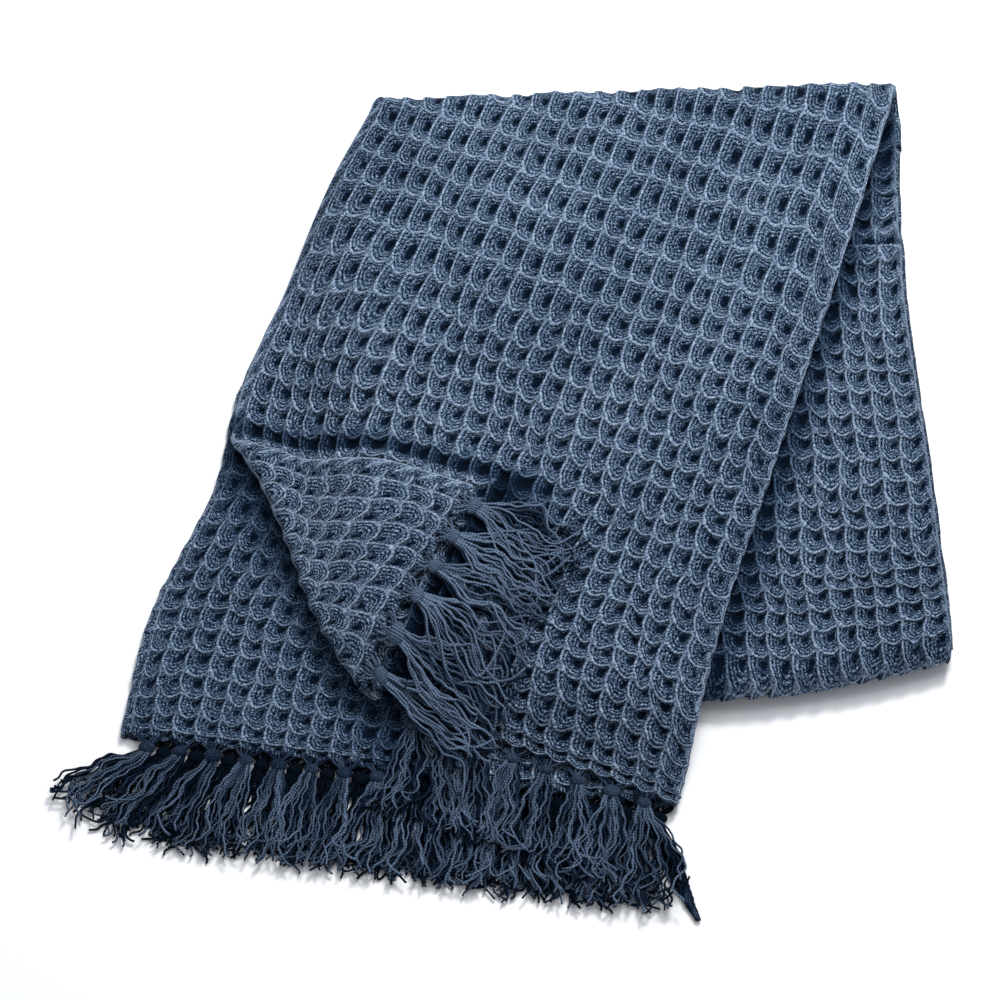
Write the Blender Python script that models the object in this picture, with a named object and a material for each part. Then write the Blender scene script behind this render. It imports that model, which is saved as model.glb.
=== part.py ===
"""A waffle weave cotton throw with knotted tassel fringes, lying folded on a flat surface.

The cloth is one sheet. A point of it is named by u, across the cloth from selvedge to selvedge,
and v, along the warp from the front hem to the back hem. Four steps carry it to its place:

1. the front left corner of the top layer is turned back over itself,
2. the width is folded in thirds like a Z, top layer, middle layer and bottom layer,
3. the three layers together run along a flap in front, over a far fold, back under it,
   round a near fold, and a short way back under that,
4. each layer keeps its place in the stack, one layer pitch from the next.

Units are metres. The origin is on the surface that the throw lies on, under the middle of its
box, +Z is up, and the front hem is towards -Y.
"""

import math

import bmesh
import bpy
import numpy as np
from mathutils import Matrix

# ---------------------------------------------------------------- driving sizes
CLOTH_WIDTH = 1.27              # selvedge to selvedge
CLOTH_LENGTH = 1.35             # hem to hem, without the fringes
SHEET_THICKNESS = 0.003
LAYER_PITCH = 0.0054            # from one layer's middle to the next one's
TASSEL_LENGTH = 0.082
KNOT_PITCH = 0.024              # from one fringe knot to the next along a hem

SIDE_FOLD_RADIUS = LAYER_PITCH / 2
SIDE_FOLD_ARC = math.pi * SIDE_FOLD_RADIUS
STRIP_WIDTH = (CLOTH_WIDTH - 2 * SIDE_FOLD_ARC) / 3
STRIP_LEVEL = LAYER_PITCH + SHEET_THICKNESS / 2     # middle layer over what the strip lies on
STACK_HEIGHT = 6 * LAYER_PITCH                      # what the front flap lies on
PLAN_CENTRE = (0.0093, 0.0167)  # the middle of the throw's box, in the plan of the tables below

# ---------------------------------------------------------------- the folded strip
# The flaps are ruled surfaces between a left and a right rail on the ground plan.
# share: how far along the flap; x, y: the rail's place there.
FRONT_LEFT_RAIL = (
    # share    x       y
    (0.00, -0.272, -0.205),
    (0.18, -0.257, -0.108),
    (0.40, -0.212, 0.012),
    (0.54, -0.200, 0.090),
    (0.76, -0.154, 0.220),
    (1.00, -0.105, 0.337),
)
FRONT_RIGHT_RAIL = (
    (0.00, 0.122, -0.262),
    (0.18, 0.152, -0.146),
    (0.42, 0.202, 0.008),
    (0.72, 0.262, 0.190),
    (1.00, 0.313, 0.354),
)
BACK_LEFT_RAIL = (
    (0.00, None, None),         # worked out: where the far fold lets the strip go
    (0.35, -0.088, 0.180),
    (0.70, -0.076, 0.020),
    (1.00, -0.062, -0.112),
)
BACK_RIGHT_RAIL = (
    (0.00, None, None),
    (0.35, 0.316, 0.190),
    (0.70, 0.324, 0.020),
    (1.00, 0.330, -0.130),
)
RETURN_LEFT_END = (-0.072, 0.098)
RETURN_RIGHT_END = (0.318, 0.086)

FRONT_LENGTH = {"left": 0.500, "right": 0.590}      # cloth in the front flap along each rail
BACK_LENGTH = {"left": 0.515, "right": 0.455}
FRONT_STRETCH = 0.80            # how open the cells lie at the hem, against the flap's average
TOP_HEM_SETBACK = 0.155         # the top layer's hem stops short of the others' at the left
NEAR_FOLD_BELLY = 0.040         # how far the near fold bows out between its ends

FAR_FOLD_RADIUS = 3 * LAYER_PITCH
NEAR_FOLD_RADIUS = 1.5 * LAYER_PITCH
FRONT_LEAN = 0.39               # the front flap's slant across the far fold, as a tangent
BACK_LEAN = 0.04

DROP_START = 0.005              # where the front flap starts to fall off the stack under it
DROP_END = 0.096
ROLL_SHARE = (0.80, 1.00)       # the stretch of the front flap that the far fold holds up
RAMP_SHARE = (0.12, 0.33)       # where the back flap climbs onto the short return flap
PLEATS = (
    # share   height  half length
    (0.185, 0.0060, 0.030),
    (0.300, 0.0050, 0.028),
)
PLEAT_EDGE = (0.55, 0.90)       # pleats grow towards the right rail

# The turned corner: the crease runs from the selvedge to the hem of the top layer.
CREASE_ON_HEM = 0.190           # distance from the corner along the hem
CREASE_ON_SELVEDGE = 0.215      # and along the selvedge
CORNER_TIP = (0.222, 0.205)     # where the corner comes to lie on the top layer, across and along
CREASE_RADIUS = 0.0058
CORNER_CLEARANCE = 1.35 * LAYER_PITCH
CREASE_FADE = 0.040             # the crease stands up, and the corner settles over this length

# ---------------------------------------------------------------- mesh steps
PANEL_STEPS = 6                 # quads across each third
FOLD_STEPS = 4                  # quads round each side fold
FLAP_ROWS = {"front": 20, "far fold": 7, "back": 13, "near fold": 5, "return": 5}
CREASE_CUTS = 4                 # facets round the corner's crease
SETTLE_CUTS = (0.010, 0.024, 0.042, 0.066, 0.094)   # mesh lines past it, where the corner settles

# ---------------------------------------------------------------- fringe
FRINGE_GAP = 0.0005             # between the hem and the knot strip
KNOT_STRIP = 0.004              # depth of the strip that the knots grow from
KNOT_WIDTH = 0.009
TASSEL_FORM = (
    # share   width   thickness
    (0.10, 0.0110, 0.0046),
    (0.24, 0.0085, 0.0042),
    (0.66, 0.0170, 0.0040),
    (1.00, 0.0130, 0.0030),
)
TASSEL_SWAY = math.radians(3.5)
CORNER_REST = 0.0022            # the corner's tassels over the cloth that they lie on
SELVEDGE_ROOM = 0.004           # hem left without knots: at a selvedge, a side fold and the crease
FOLD_ROOM = 0.007
CREASE_ROOM = 0.026
SPREAD_AT_LEFT = math.radians(50)       # the end tassels fan out to the sides
SPREAD_AT_RIGHT = math.radians(18)
SPREAD_FADE = 0.055
CORNER_SPREAD = (math.radians(-4), math.radians(30))    # the corner's tassels, tip to crease


# ---------------------------------------------------------------- curves and steps
def smoothstep(low, high, value):
    """0 below low, 1 above high, and 6t^5 - 15t^4 + 10t^3 between, level at both ends."""
    t = np.clip((value - low) / (high - low), 0.0, 1.0)
    return t ** 3 * (t * (t * 6 - 15) + 10)


def along(rail, share):
    """Read a rail at each share: cubic Hermite pieces with the slopes of its neighbours."""
    table = np.array(rail, dtype=float)
    knots, places = table[:, 0], table[:, 1:]
    slopes = np.gradient(places, knots, axis=0)
    share = np.asarray(share, dtype=float)
    i = np.clip(np.searchsorted(knots, share, side="right") - 1, 0, len(knots) - 2)
    span = knots[i + 1] - knots[i]
    t = (share - knots[i]) / span
    t, span = t[..., None], span[..., None]
    return ((2 * t ** 3 - 3 * t ** 2 + 1) * places[i]
            + (t ** 3 - 2 * t ** 2 + t) * span * slopes[i]
            + (3 * t ** 2 - 2 * t ** 3) * places[i + 1]
            + (t ** 3 - t ** 2) * span * slopes[i + 1])


def ruled(left, right, across):
    """The straight line from left to right, read at the share across."""
    across = np.asarray(across)[..., None]
    return left + (right - left) * across


def unit(vector):
    return vector / np.linalg.norm(vector, axis=-1, keepdims=True)


# ---------------------------------------------------------------- the far and near folds
FAR_FOLD_ENDS = (np.array(FRONT_LEFT_RAIL[-1][1:]), np.array(FRONT_RIGHT_RAIL[-1][1:]))
FAR_FOLD_LINE = unit(FAR_FOLD_ENDS[1] - FAR_FOLD_ENDS[0])
FAR_FOLD_OUT = np.array((-FAR_FOLD_LINE[1], FAR_FOLD_LINE[0]))
FAR_FOLD_ARC = math.pi * FAR_FOLD_RADIUS
NEAR_FOLD_ARC = math.pi * NEAR_FOLD_RADIUS


def far_fold_shift(angle):
    """How far the strip creeps along the far fold: its lean turns from the front flap's to the back's."""
    turned = angle ** 2 / (2 * math.pi)
    return FAR_FOLD_RADIUS * (FRONT_LEAN * (angle - turned) + BACK_LEAN * turned)


def with_start(rail, start):
    return ((0.0, start[0], start[1]),) + rail[1:]


_creep = FAR_FOLD_LINE * far_fold_shift(math.pi)
BACK_LEFT = with_start(BACK_LEFT_RAIL, FAR_FOLD_ENDS[0] + _creep)
BACK_RIGHT = with_start(BACK_RIGHT_RAIL, FAR_FOLD_ENDS[1] + _creep)
NEAR_FOLD_ENDS = (np.array(BACK_LEFT[-1][1:]), np.array(BACK_RIGHT[-1][1:]))
NEAR_FOLD_LINE = unit(NEAR_FOLD_ENDS[1] - NEAR_FOLD_ENDS[0])
NEAR_FOLD_OUT = np.array((NEAR_FOLD_LINE[1], -NEAR_FOLD_LINE[0]))


def belly(across):
    """The near fold's bow: half a sine wave from end to end."""
    return NEAR_FOLD_BELLY * np.sin(math.pi * np.clip(across, 0.0, 1.0))[..., None] * NEAR_FOLD_OUT


def stack_under(plan):
    """Height of what the front flap lies on: the stack, falling to the surface past its edges."""
    left_line = unit(np.array(BACK_LEFT[-1][1:]) - np.array(BACK_LEFT[0][1:]))
    left_out = np.array((left_line[1], -left_line[0]))
    past_left = (plan - np.array(BACK_LEFT[-1][1:])) @ left_out
    from_corner = plan - NEAR_FOLD_ENDS[0]
    across = (from_corner @ NEAR_FOLD_LINE) / np.linalg.norm(NEAR_FOLD_ENDS[1] - NEAR_FOLD_ENDS[0])
    bow = NEAR_FOLD_BELLY * np.sin(math.pi * np.clip(across, 0.0, 1.0))
    past_front = from_corner @ NEAR_FOLD_OUT - bow
    past = np.hypot(np.maximum(past_left, 0.0), np.maximum(past_front, 0.0))
    return STACK_HEIGHT * (1 - smoothstep(DROP_START, DROP_END, past))


# ---------------------------------------------------------------- from the flat cloth to its place
def lengths_to(across):
    """Cloth length from the hem to the far fold, and to the near fold, at each share across."""
    front = FRONT_LENGTH["left"] + (FRONT_LENGTH["right"] - FRONT_LENGTH["left"]) * across
    back = BACK_LENGTH["left"] + (BACK_LENGTH["right"] - BACK_LENGTH["left"]) * across
    return front, front + FAR_FOLD_ARC + back


def strip_centre(across, v, setback):
    """The middle layer's place, flap by flap. setback is the share by which a hem stops short."""
    to_far, to_near = lengths_to(across)
    shape = np.broadcast(across, v).shape
    place = np.zeros(shape + (3,))

    share = v / to_far
    share = FRONT_STRETCH * share + (1 - FRONT_STRETCH) * share * np.abs(share)
    share = setback + (1 - setback) * share
    plan = ruled(along(FRONT_LEFT_RAIL, share), along(FRONT_RIGHT_RAIL, share), across)
    held = smoothstep(*ROLL_SHARE, share)
    under = STACK_HEIGHT - (STACK_HEIGHT - stack_under(plan)) * (1 - held)
    front = np.concatenate((plan, (STRIP_LEVEL + under)[..., None]), axis=-1)

    angle = (v - to_far) / FAR_FOLD_RADIUS
    fold_line = ruled(FAR_FOLD_ENDS[0], FAR_FOLD_ENDS[1], across)
    plan = (fold_line + far_fold_shift(angle)[..., None] * FAR_FOLD_LINE
            + FAR_FOLD_RADIUS * np.sin(angle)[..., None] * FAR_FOLD_OUT)
    height = STRIP_LEVEL + STACK_HEIGHT / 2 + FAR_FOLD_RADIUS * np.cos(angle)
    far = np.concatenate((plan, height[..., None]), axis=-1)

    share = (v - to_far - FAR_FOLD_ARC) / (to_near - to_far - FAR_FOLD_ARC)
    plan = ruled(along(BACK_LEFT, share), along(BACK_RIGHT, share), across)
    plan = plan + belly(across) * smoothstep(0.3, 1.0, share)[..., None]
    height = STRIP_LEVEL + 3 * LAYER_PITCH * smoothstep(*RAMP_SHARE, share)
    for pleat_share, pleat_height, half_length in PLEATS:
        reach = half_length / BACK_LENGTH["right"]
        wave = 1 - smoothstep(0.0, reach, np.abs(share - pleat_share))
        height = height + pleat_height * wave * smoothstep(*PLEAT_EDGE, across)
    back = np.concatenate((plan, height[..., None]), axis=-1)

    angle = (v - to_near) / NEAR_FOLD_RADIUS
    fold_line = ruled(NEAR_FOLD_ENDS[0], NEAR_FOLD_ENDS[1], across) + belly(across)
    plan = fold_line + NEAR_FOLD_RADIUS * np.sin(angle)[..., None] * NEAR_FOLD_OUT
    height = STRIP_LEVEL + 1.5 * LAYER_PITCH + NEAR_FOLD_RADIUS * np.cos(angle)
    near = np.concatenate((plan, height[..., None]), axis=-1)

    share = (v - to_near - NEAR_FOLD_ARC) / (CLOTH_LENGTH - to_near - NEAR_FOLD_ARC)
    end_line = ruled(np.array(RETURN_LEFT_END), np.array(RETURN_RIGHT_END), across)
    plan = fold_line + (end_line - fold_line) * share[..., None]
    level = np.full(shape + (1,), STRIP_LEVEL)
    home = np.concatenate((plan, level), axis=-1)

    place[...] = front
    for start, piece in ((to_far, far), (to_far + FAR_FOLD_ARC, back),
                         (to_near, near), (to_near + NEAR_FOLD_ARC, home)):
        place = np.where((v > start)[..., None], piece, place)
    return place


def turn_corner(u, v):
    """Lay the corner back: past the crease, cloth goes round it and on to where the tip lies."""
    past = 1 - u / CREASE_ON_HEM - v / CREASE_ON_SELVEDGE
    past = np.where(u < STRIP_WIDTH, past, -1.0)
    hem, selvedge = CREASE_ON_HEM, CREASE_ON_SELVEDGE
    foot = np.array((hem * selvedge ** 2, selvedge * hem ** 2)) / (hem ** 2 + selvedge ** 2)
    corner_depth = np.linalg.norm(foot)
    run = past * corner_depth
    half_turn = math.pi * CREASE_RADIUS
    angle = np.clip(run / CREASE_RADIUS, 0.0, math.pi)
    laid = np.maximum(run - half_turn, 0.0)
    outward = -foot / corner_depth
    on_crease = np.stack((u, v), axis=-1) + past[..., None] * foot
    to_tip = (np.array(CORNER_TIP) - foot) / corner_depth
    turned = (on_crease + CREASE_RADIUS * np.sin(angle)[..., None] * outward
              + laid[..., None] * to_tip)
    lift = CREASE_RADIUS * (1 - np.cos(angle))
    settle = (2 * CREASE_RADIUS - CORNER_CLEARANCE) * (1 - np.exp(-laid / CREASE_FADE))
    lift = lift - settle
    inside = past > 0
    return np.where(inside, turned[..., 0], u), np.where(inside, turned[..., 1], v), \
        np.where(inside, lift, 0.0)


def fold_in_thirds(u):
    """The Z fold: u goes to a place across the strip and a height over its middle layer."""
    r, width, arc = SIDE_FOLD_RADIUS, STRIP_WIDTH, SIDE_FOLD_ARC
    first = (u - width) / r
    second = (u - 2 * width - arc) / r
    across = u + 0.0
    height = np.full_like(across, LAYER_PITCH)
    across = np.where(u > width, width + r * np.sin(first), across)
    height = np.where(u > width, r + r * np.cos(first), height)
    across = np.where(u > width + arc, 2 * width + arc - u, across)
    height = np.where(u > width + arc, 0.0, height)
    across = np.where(u > 2 * width + arc, -r * np.sin(second), across)
    height = np.where(u > 2 * width + arc, r * np.cos(second) - r, height)
    across = np.where(u > 2 * width + 2 * arc, u - 2 * width - 2 * arc, across)
    height = np.where(u > 2 * width + 2 * arc, -LAYER_PITCH, height)
    return across / width, height


def cloth_place(u, v):
    """The cloth's mid surface: where the point u across and v along the flat cloth comes to lie."""
    u, v = np.broadcast_arrays(np.asarray(u, float), np.asarray(v, float))
    laid_u, laid_v, lift = turn_corner(u, v)
    across, height = fold_in_thirds(laid_u)
    setback = TOP_HEM_SETBACK * np.clip(1 - laid_u / STRIP_WIDTH, 0.0, 1.0)
    step = 0.001
    centre = strip_centre(across, laid_v, setback)
    side = step / STRIP_WIDTH
    to_right = strip_centre(across + side, laid_v, setback) - strip_centre(across - side, laid_v, setback)
    to_back = strip_centre(across, laid_v + step, setback) - strip_centre(across, laid_v - step, setback)
    up = unit(np.cross(to_right, to_back))
    return centre + (height + lift)[..., None] * up


# ---------------------------------------------------------------- the cloth as a solid
def column_lines():
    """u of each mesh line: even steps across the thirds, and finer ones round the side folds."""
    panel = np.linspace(0, STRIP_WIDTH, PANEL_STEPS + 1)
    fold = STRIP_WIDTH + np.linspace(0, SIDE_FOLD_ARC, FOLD_STEPS + 1)
    lines = [panel, fold[1:], panel[1:] + STRIP_WIDTH + SIDE_FOLD_ARC,
             fold[1:] + STRIP_WIDTH + SIDE_FOLD_ARC, panel[1:] + 2 * (STRIP_WIDTH + SIDE_FOLD_ARC)]
    return np.concatenate(lines)


def row_lines(u):
    """v of each mesh row at each u: the rows follow the far and near folds, which slant."""
    across, _ = fold_in_thirds(u)
    to_far, to_near = lengths_to(across)
    stations = (("front", np.zeros_like(u), to_far), ("far fold", to_far, to_far + FAR_FOLD_ARC),
                ("back", to_far + FAR_FOLD_ARC, to_near),
                ("near fold", to_near, to_near + NEAR_FOLD_ARC),
                ("return", to_near + NEAR_FOLD_ARC, np.full_like(u, CLOTH_LENGTH)))
    rows = [np.zeros_like(u)]
    for flap, start, end in stations:
        count = FLAP_ROWS[flap]
        rows += [start + (end - start) * k / count for k in range(1, count + 1)]
    return np.array(rows)


def make_blanket(material):
    """Cut the flat cloth along the corner's crease, fold it and give it its thickness."""
    u = column_lines()
    v = row_lines(u)
    bm = bmesh.new()
    grid = [[bm.verts.new((u[i], v[j, i], 0.0)) for i in range(len(u))] for j in range(len(v))]
    for j in range(len(v) - 1):
        for i in range(len(u) - 1):
            bm.faces.new((grid[j][i], grid[j][i + 1], grid[j + 1][i + 1], grid[j + 1][i]))
    hem, selvedge = CREASE_ON_HEM, CREASE_ON_SELVEDGE
    outward = (-selvedge, -hem, 0.0)
    depth = hem * selvedge / math.hypot(hem, selvedge)
    half_turn = math.pi * CREASE_RADIUS
    cuts = [half_turn * k / CREASE_CUTS for k in range(CREASE_CUTS + 1)]
    cuts += [half_turn + run for run in SETTLE_CUTS]
    for cut in cuts:
        keep = 1 - cut / depth
        near = [f for f in bm.faces if f.calc_center_median().x < STRIP_WIDTH]
        geometry = set(near)
        for face in near:
            geometry.update(face.edges)
            geometry.update(face.verts)
        bmesh.ops.bisect_plane(bm, geom=list(geometry), dist=1e-5,
                               plane_co=(hem * keep, 0.0, 0.0), plane_no=outward)
    bmesh.ops.triangulate(bm, faces=bm.faces[:])
    bm.verts.ensure_lookup_table()
    flat = np.array([vertex.co[:2] for vertex in bm.verts])
    for vertex, place in zip(bm.verts, cloth_place(flat[:, 0], flat[:, 1])):
        vertex.co = place
    bmesh.ops.recalc_face_normals(bm, faces=bm.faces[:])
    mesh = bpy.data.meshes.new("blanket")
    bm.to_mesh(mesh)
    bm.free()
    blanket = add_object("blanket", mesh, material)
    thickness = blanket.modifiers.new("cloth thickness", "SOLIDIFY")
    thickness.thickness = SHEET_THICKNESS
    thickness.offset = 0.0
    return blanket


# ---------------------------------------------------------------- the fringes
def hem_point(u, v_hem, outside):
    """A place just outside a hem, carried on straight from the cloth's last few millimetres.
    Past the turned corner the hem is the solid's own, straight from one mesh line to the next."""
    inward = 0.002 if v_hem == 0 else -0.002
    edge = cloth_place(u, np.full_like(u, v_hem))
    inner = cloth_place(u, np.full_like(u, v_hem + inward))
    outward = unit(edge - inner)
    if v_hem > 0 or np.min(u) > CREASE_ON_HEM:
        lines = np.sort(np.append(column_lines(), CREASE_ON_HEM))
        corners = cloth_place(lines, np.full_like(lines, v_hem))
        edge = np.stack([np.interp(u, lines, corners[:, axis]) for axis in range(3)], axis=-1)
    return edge + outward * outside


def surface_up(u, v_hem):
    """Square to the cloth at a hem, on the side that faces up."""
    inward = 0.002 if v_hem == 0 else -0.002
    step = 0.001
    hem = np.full_like(u, v_hem)
    side = cloth_place(u + step, hem) - cloth_place(u - step, hem)
    along_warp = cloth_place(u, hem + inward) - cloth_place(u, hem)
    up = unit(np.cross(side, along_warp))
    return up * np.sign(up[..., 2:3])


def on_bed(bed, plan, height):
    """The place at a height square over a bed, above a point of the plan, and which way is up there."""
    step = 0.002
    plan = np.asarray(plan, dtype=float)
    sideways = np.array((step, 0.0))
    onward = np.array((0.0, step))
    slope_x = (bed(plan + sideways) - bed(plan - sideways)) / (2 * step)
    slope_y = (bed(plan + onward) - bed(plan - onward)) / (2 * step)
    up = unit(np.array((-slope_x, -slope_y, 1.0)))
    return np.array((plan[0], plan[1], bed(plan))) + up * height, up


def make_comb(name, knots, v_hem, tassel_path, material):
    """One knot strip with its tassels. tassel_path gives a tassel's middle, its side and its up
    direction from the knot's number, the share of its length and its thickness there."""
    half = KNOT_WIDTH / 2
    lines = np.ravel(np.stack((knots - half, knots + half), axis=1))
    inner = hem_point(lines, v_hem, FRINGE_GAP)
    outer = hem_point(lines, v_hem, FRINGE_GAP + KNOT_STRIP)
    up = surface_up(lines, v_hem) * SHEET_THICKNESS / 2
    rings = np.stack((inner + up, outer + up, outer - up, inner - up), axis=1)

    bm = bmesh.new()
    loops = [[bm.verts.new(point) for point in ring] for ring in rings]
    bm.faces.new(loops[0])
    bm.faces.new(reversed(loops[-1]))
    roots = []
    for i in range(len(lines) - 1):
        for k in range(4):
            quad = (loops[i][k], loops[i + 1][k], loops[i + 1][(k + 1) % 4], loops[i][(k + 1) % 4])
            outer_side = k == 1
            if outer_side and i % 2 == 0:
                roots.append(quad)
            else:
                bm.faces.new(quad)

    for number, root in enumerate(roots):
        low, high = np.array(root[0].co), np.array(root[1].co)
        ring = list(root)
        for share, width, thickness in TASSEL_FORM:
            middle, side, rise = tassel_path(number, share, thickness)
            side = side * np.sign(side @ (high - low)) * width / 2
            rise = rise * thickness / 2
            corners = (middle - side + rise, middle + side + rise,
                       middle + side - rise, middle - side - rise)
            new_ring = [bm.verts.new(point) for point in corners]
            for k in range(4):
                bm.faces.new((ring[k], ring[(k + 1) % 4], new_ring[(k + 1) % 4], new_ring[k]))
            ring = new_ring
        bm.faces.new(ring)
    bmesh.ops.recalc_face_normals(bm, faces=bm.faces[:])
    mesh = bpy.data.meshes.new(name)
    bm.to_mesh(mesh)
    bm.free()
    return add_object(name, mesh, material)


def laid_tassels(knots, v_hem, bed, level, turn):
    """Tassels that leave the hem straight, swing to the side and lie at a level over a bed."""
    start = hem_point(knots, v_hem, FRINGE_GAP + KNOT_STRIP)
    outward = unit((start - hem_point(knots, v_hem, 0.0))[:, :2])
    heading = np.stack((outward[:, 0] * np.cos(turn) - outward[:, 1] * np.sin(turn),
                        outward[:, 0] * np.sin(turn) + outward[:, 1] * np.cos(turn)), axis=1)
    length = TASSEL_LENGTH - KNOT_STRIP

    def path(number, share, thickness):
        swung = min(1.0, share * 3)
        direction = unit(outward[number] * (1 - swung) + heading[number] * swung)
        plan = start[number, :2] + direction * length * share
        middle, up = on_bed(bed, plan, level + thickness / 2)
        side = unit(np.cross(up, np.array((heading[number, 0], heading[number, 1], 0.0))))
        return middle, side, up

    return path


def corner_tassels(knots, turn):
    """Tassels of the turned corner: they go on over the top layer as the corner's cloth would."""
    length = TASSEL_LENGTH - KNOT_STRIP

    def path(number, share, thickness):
        run = FRINGE_GAP + KNOT_STRIP + length * share
        u = knots[number] + run * math.tan(turn[number])
        step = 0.002
        middle = cloth_place(u, -run)
        side = unit(cloth_place(u + step, -run) - cloth_place(u - step, -run))
        up = unit(np.cross(side, middle - cloth_place(u, -run + step)))
        up = up * np.sign(up[2])
        sink = (CORNER_CLEARANCE - SHEET_THICKNESS / 2 - thickness / 2) * min(1.0, share * 1.5)
        return middle - up * (sink - CORNER_REST * min(1.0, share * 1.5)), side, up

    return path


def knots_between(start, end):
    """Even knots along a stretch of hem, half a pitch in from its ends."""
    count = int((end - start) / KNOT_PITCH)
    return start + (end - start) * (np.arange(count) + 0.5) / count


def sway(knots):
    """A gentle swing from tassel to tassel, never enough for neighbours to meet."""
    return TASSEL_SWAY * np.sin(knots * 37.0)


def fan(across):
    """How the end tassels of the front hem spread: to the left at the left end, and to the right."""
    return (SPREAD_AT_RIGHT * np.exp((across - STRIP_WIDTH) / SPREAD_FADE)
            - SPREAD_AT_LEFT * np.exp(-across / SPREAD_FADE))


def corner_fan(knots):
    """How the turned corner's tassels spread, from the tip to the crease."""
    first, last = CORNER_SPREAD
    return first + (last - first) * knots / CREASE_ON_HEM


def flat_surface(plan):
    return np.zeros(np.shape(plan)[:-1])


def make_fringes(material):
    """One comb for each layer at each hem, and one for the turned corner."""
    second = STRIP_WIDTH + SIDE_FOLD_ARC
    third = 2 * second
    layers = (
        # name     from                      to                        pitches over the bottom layer
        ("top", SELVEDGE_ROOM, STRIP_WIDTH - FOLD_ROOM, 2),
        ("middle", second + FOLD_ROOM, second + STRIP_WIDTH - FOLD_ROOM, 1),
        ("bottom", third + FOLD_ROOM, third + STRIP_WIDTH - FOLD_ROOM, 0),
    )
    knots = knots_between(SELVEDGE_ROOM, CREASE_ON_HEM - CREASE_ROOM)
    make_comb("fringe_corner", knots, 0, corner_tassels(knots, corner_fan(knots)), material)

    for layer, start, end, pitches in layers:
        level = pitches * LAYER_PITCH
        first = start if layer != "top" else CREASE_ON_HEM + CREASE_ROOM / 2
        knots = knots_between(first, end) + (KNOT_PITCH / 2 if layer == "bottom" else 0.0)
        across = fold_in_thirds(knots)[0] * STRIP_WIDTH
        turn = sway(knots) + fan(across)
        make_comb("fringe_front_" + layer, knots, 0,
                  laid_tassels(knots, 0, stack_under, level, turn), material)
        knots = knots_between(start, end)
        make_comb("fringe_back_" + layer, knots, CLOTH_LENGTH,
                  laid_tassels(knots, CLOTH_LENGTH, flat_surface, level, sway(knots)), material)


# ---------------------------------------------------------------- scene
def fabric(name, colour, roughness):
    material = bpy.data.materials.new(name)
    material.use_nodes = True
    shader = material.node_tree.nodes["Principled BSDF"]
    shader.inputs["Base Color"].default_value = (*colour, 1.0)
    shader.inputs["Roughness"].default_value = roughness
    shader.inputs["Metallic"].default_value = 0.0
    return material


def add_object(name, mesh, material):
    mesh.transform(Matrix.Translation((-PLAN_CENTRE[0], -PLAN_CENTRE[1], 0.0)))
    thing = bpy.data.objects.new(name, mesh)
    mesh.materials.append(material)
    bpy.context.collection.objects.link(thing)
    return thing


def main():
    for old in list(bpy.data.objects):
        bpy.data.objects.remove(old, do_unlink=True)
    cloth = fabric("waffle cotton", (0.105, 0.165, 0.265), 0.92)
    yarn = fabric("fringe yarn", (0.075, 0.125, 0.215), 0.95)
    make_blanket(cloth)
    make_fringes(yarn)


main()
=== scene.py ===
"""A waffle weave cotton throw with knotted tassel fringes, folded and laid on a pale floor.

The cloth is one sheet of square cells. A point of it is named by u, across the cloth from
selvedge to selvedge, and v, along the warp from the front hem to the back hem. The fold
functions carry it to its place, the weave functions give both its faces their cells, and the
fringe functions run crimped yarns from the knots along each hem.

Units are metres, +Z is up, and the front hem is towards -Y.
"""

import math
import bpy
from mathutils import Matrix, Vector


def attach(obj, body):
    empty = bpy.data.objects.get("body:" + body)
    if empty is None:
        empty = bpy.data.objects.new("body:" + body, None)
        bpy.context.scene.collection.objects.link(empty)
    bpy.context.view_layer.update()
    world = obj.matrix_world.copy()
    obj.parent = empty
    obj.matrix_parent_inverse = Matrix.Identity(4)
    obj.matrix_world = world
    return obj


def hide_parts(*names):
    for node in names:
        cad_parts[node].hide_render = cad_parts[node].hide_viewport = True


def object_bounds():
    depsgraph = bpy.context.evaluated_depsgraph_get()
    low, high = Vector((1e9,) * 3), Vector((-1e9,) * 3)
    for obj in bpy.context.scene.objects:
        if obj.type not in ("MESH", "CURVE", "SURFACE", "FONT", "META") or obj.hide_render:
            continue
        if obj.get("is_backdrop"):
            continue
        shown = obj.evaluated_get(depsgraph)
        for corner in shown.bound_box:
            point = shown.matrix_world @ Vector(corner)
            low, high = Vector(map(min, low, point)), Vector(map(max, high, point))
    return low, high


bl_info = {
    "name": "Folded Waffle Throw",
    "version": (1, 0, 0),
    "blender": (4, 5, 0),
    "location": "View3D > Sidebar > Throw",
    "description": "Makes a folded waffle weave cotton throw: cloth, fringes and stage",
    "category": "Add Mesh",
}

import bpy
import numpy as np

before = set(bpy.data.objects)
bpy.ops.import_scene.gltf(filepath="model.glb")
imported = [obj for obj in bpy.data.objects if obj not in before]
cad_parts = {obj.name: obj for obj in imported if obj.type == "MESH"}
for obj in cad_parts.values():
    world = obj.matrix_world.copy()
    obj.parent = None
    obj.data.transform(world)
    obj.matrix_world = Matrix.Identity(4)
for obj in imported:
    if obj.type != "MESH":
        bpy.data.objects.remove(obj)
CAD_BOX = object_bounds()

# --- driving sizes
CLOTH_WIDTH = 1.27              # selvedge to selvedge
CLOTH_LENGTH = 1.35             # hem to hem, without the fringes
SHEET_THICKNESS = 0.003
LAYER_PITCH = 0.0054            # from one layer's middle to the next one's
TASSEL_LENGTH = 0.082
KNOT_PITCH = 0.024              # from one fringe knot to the next along a hem

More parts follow.
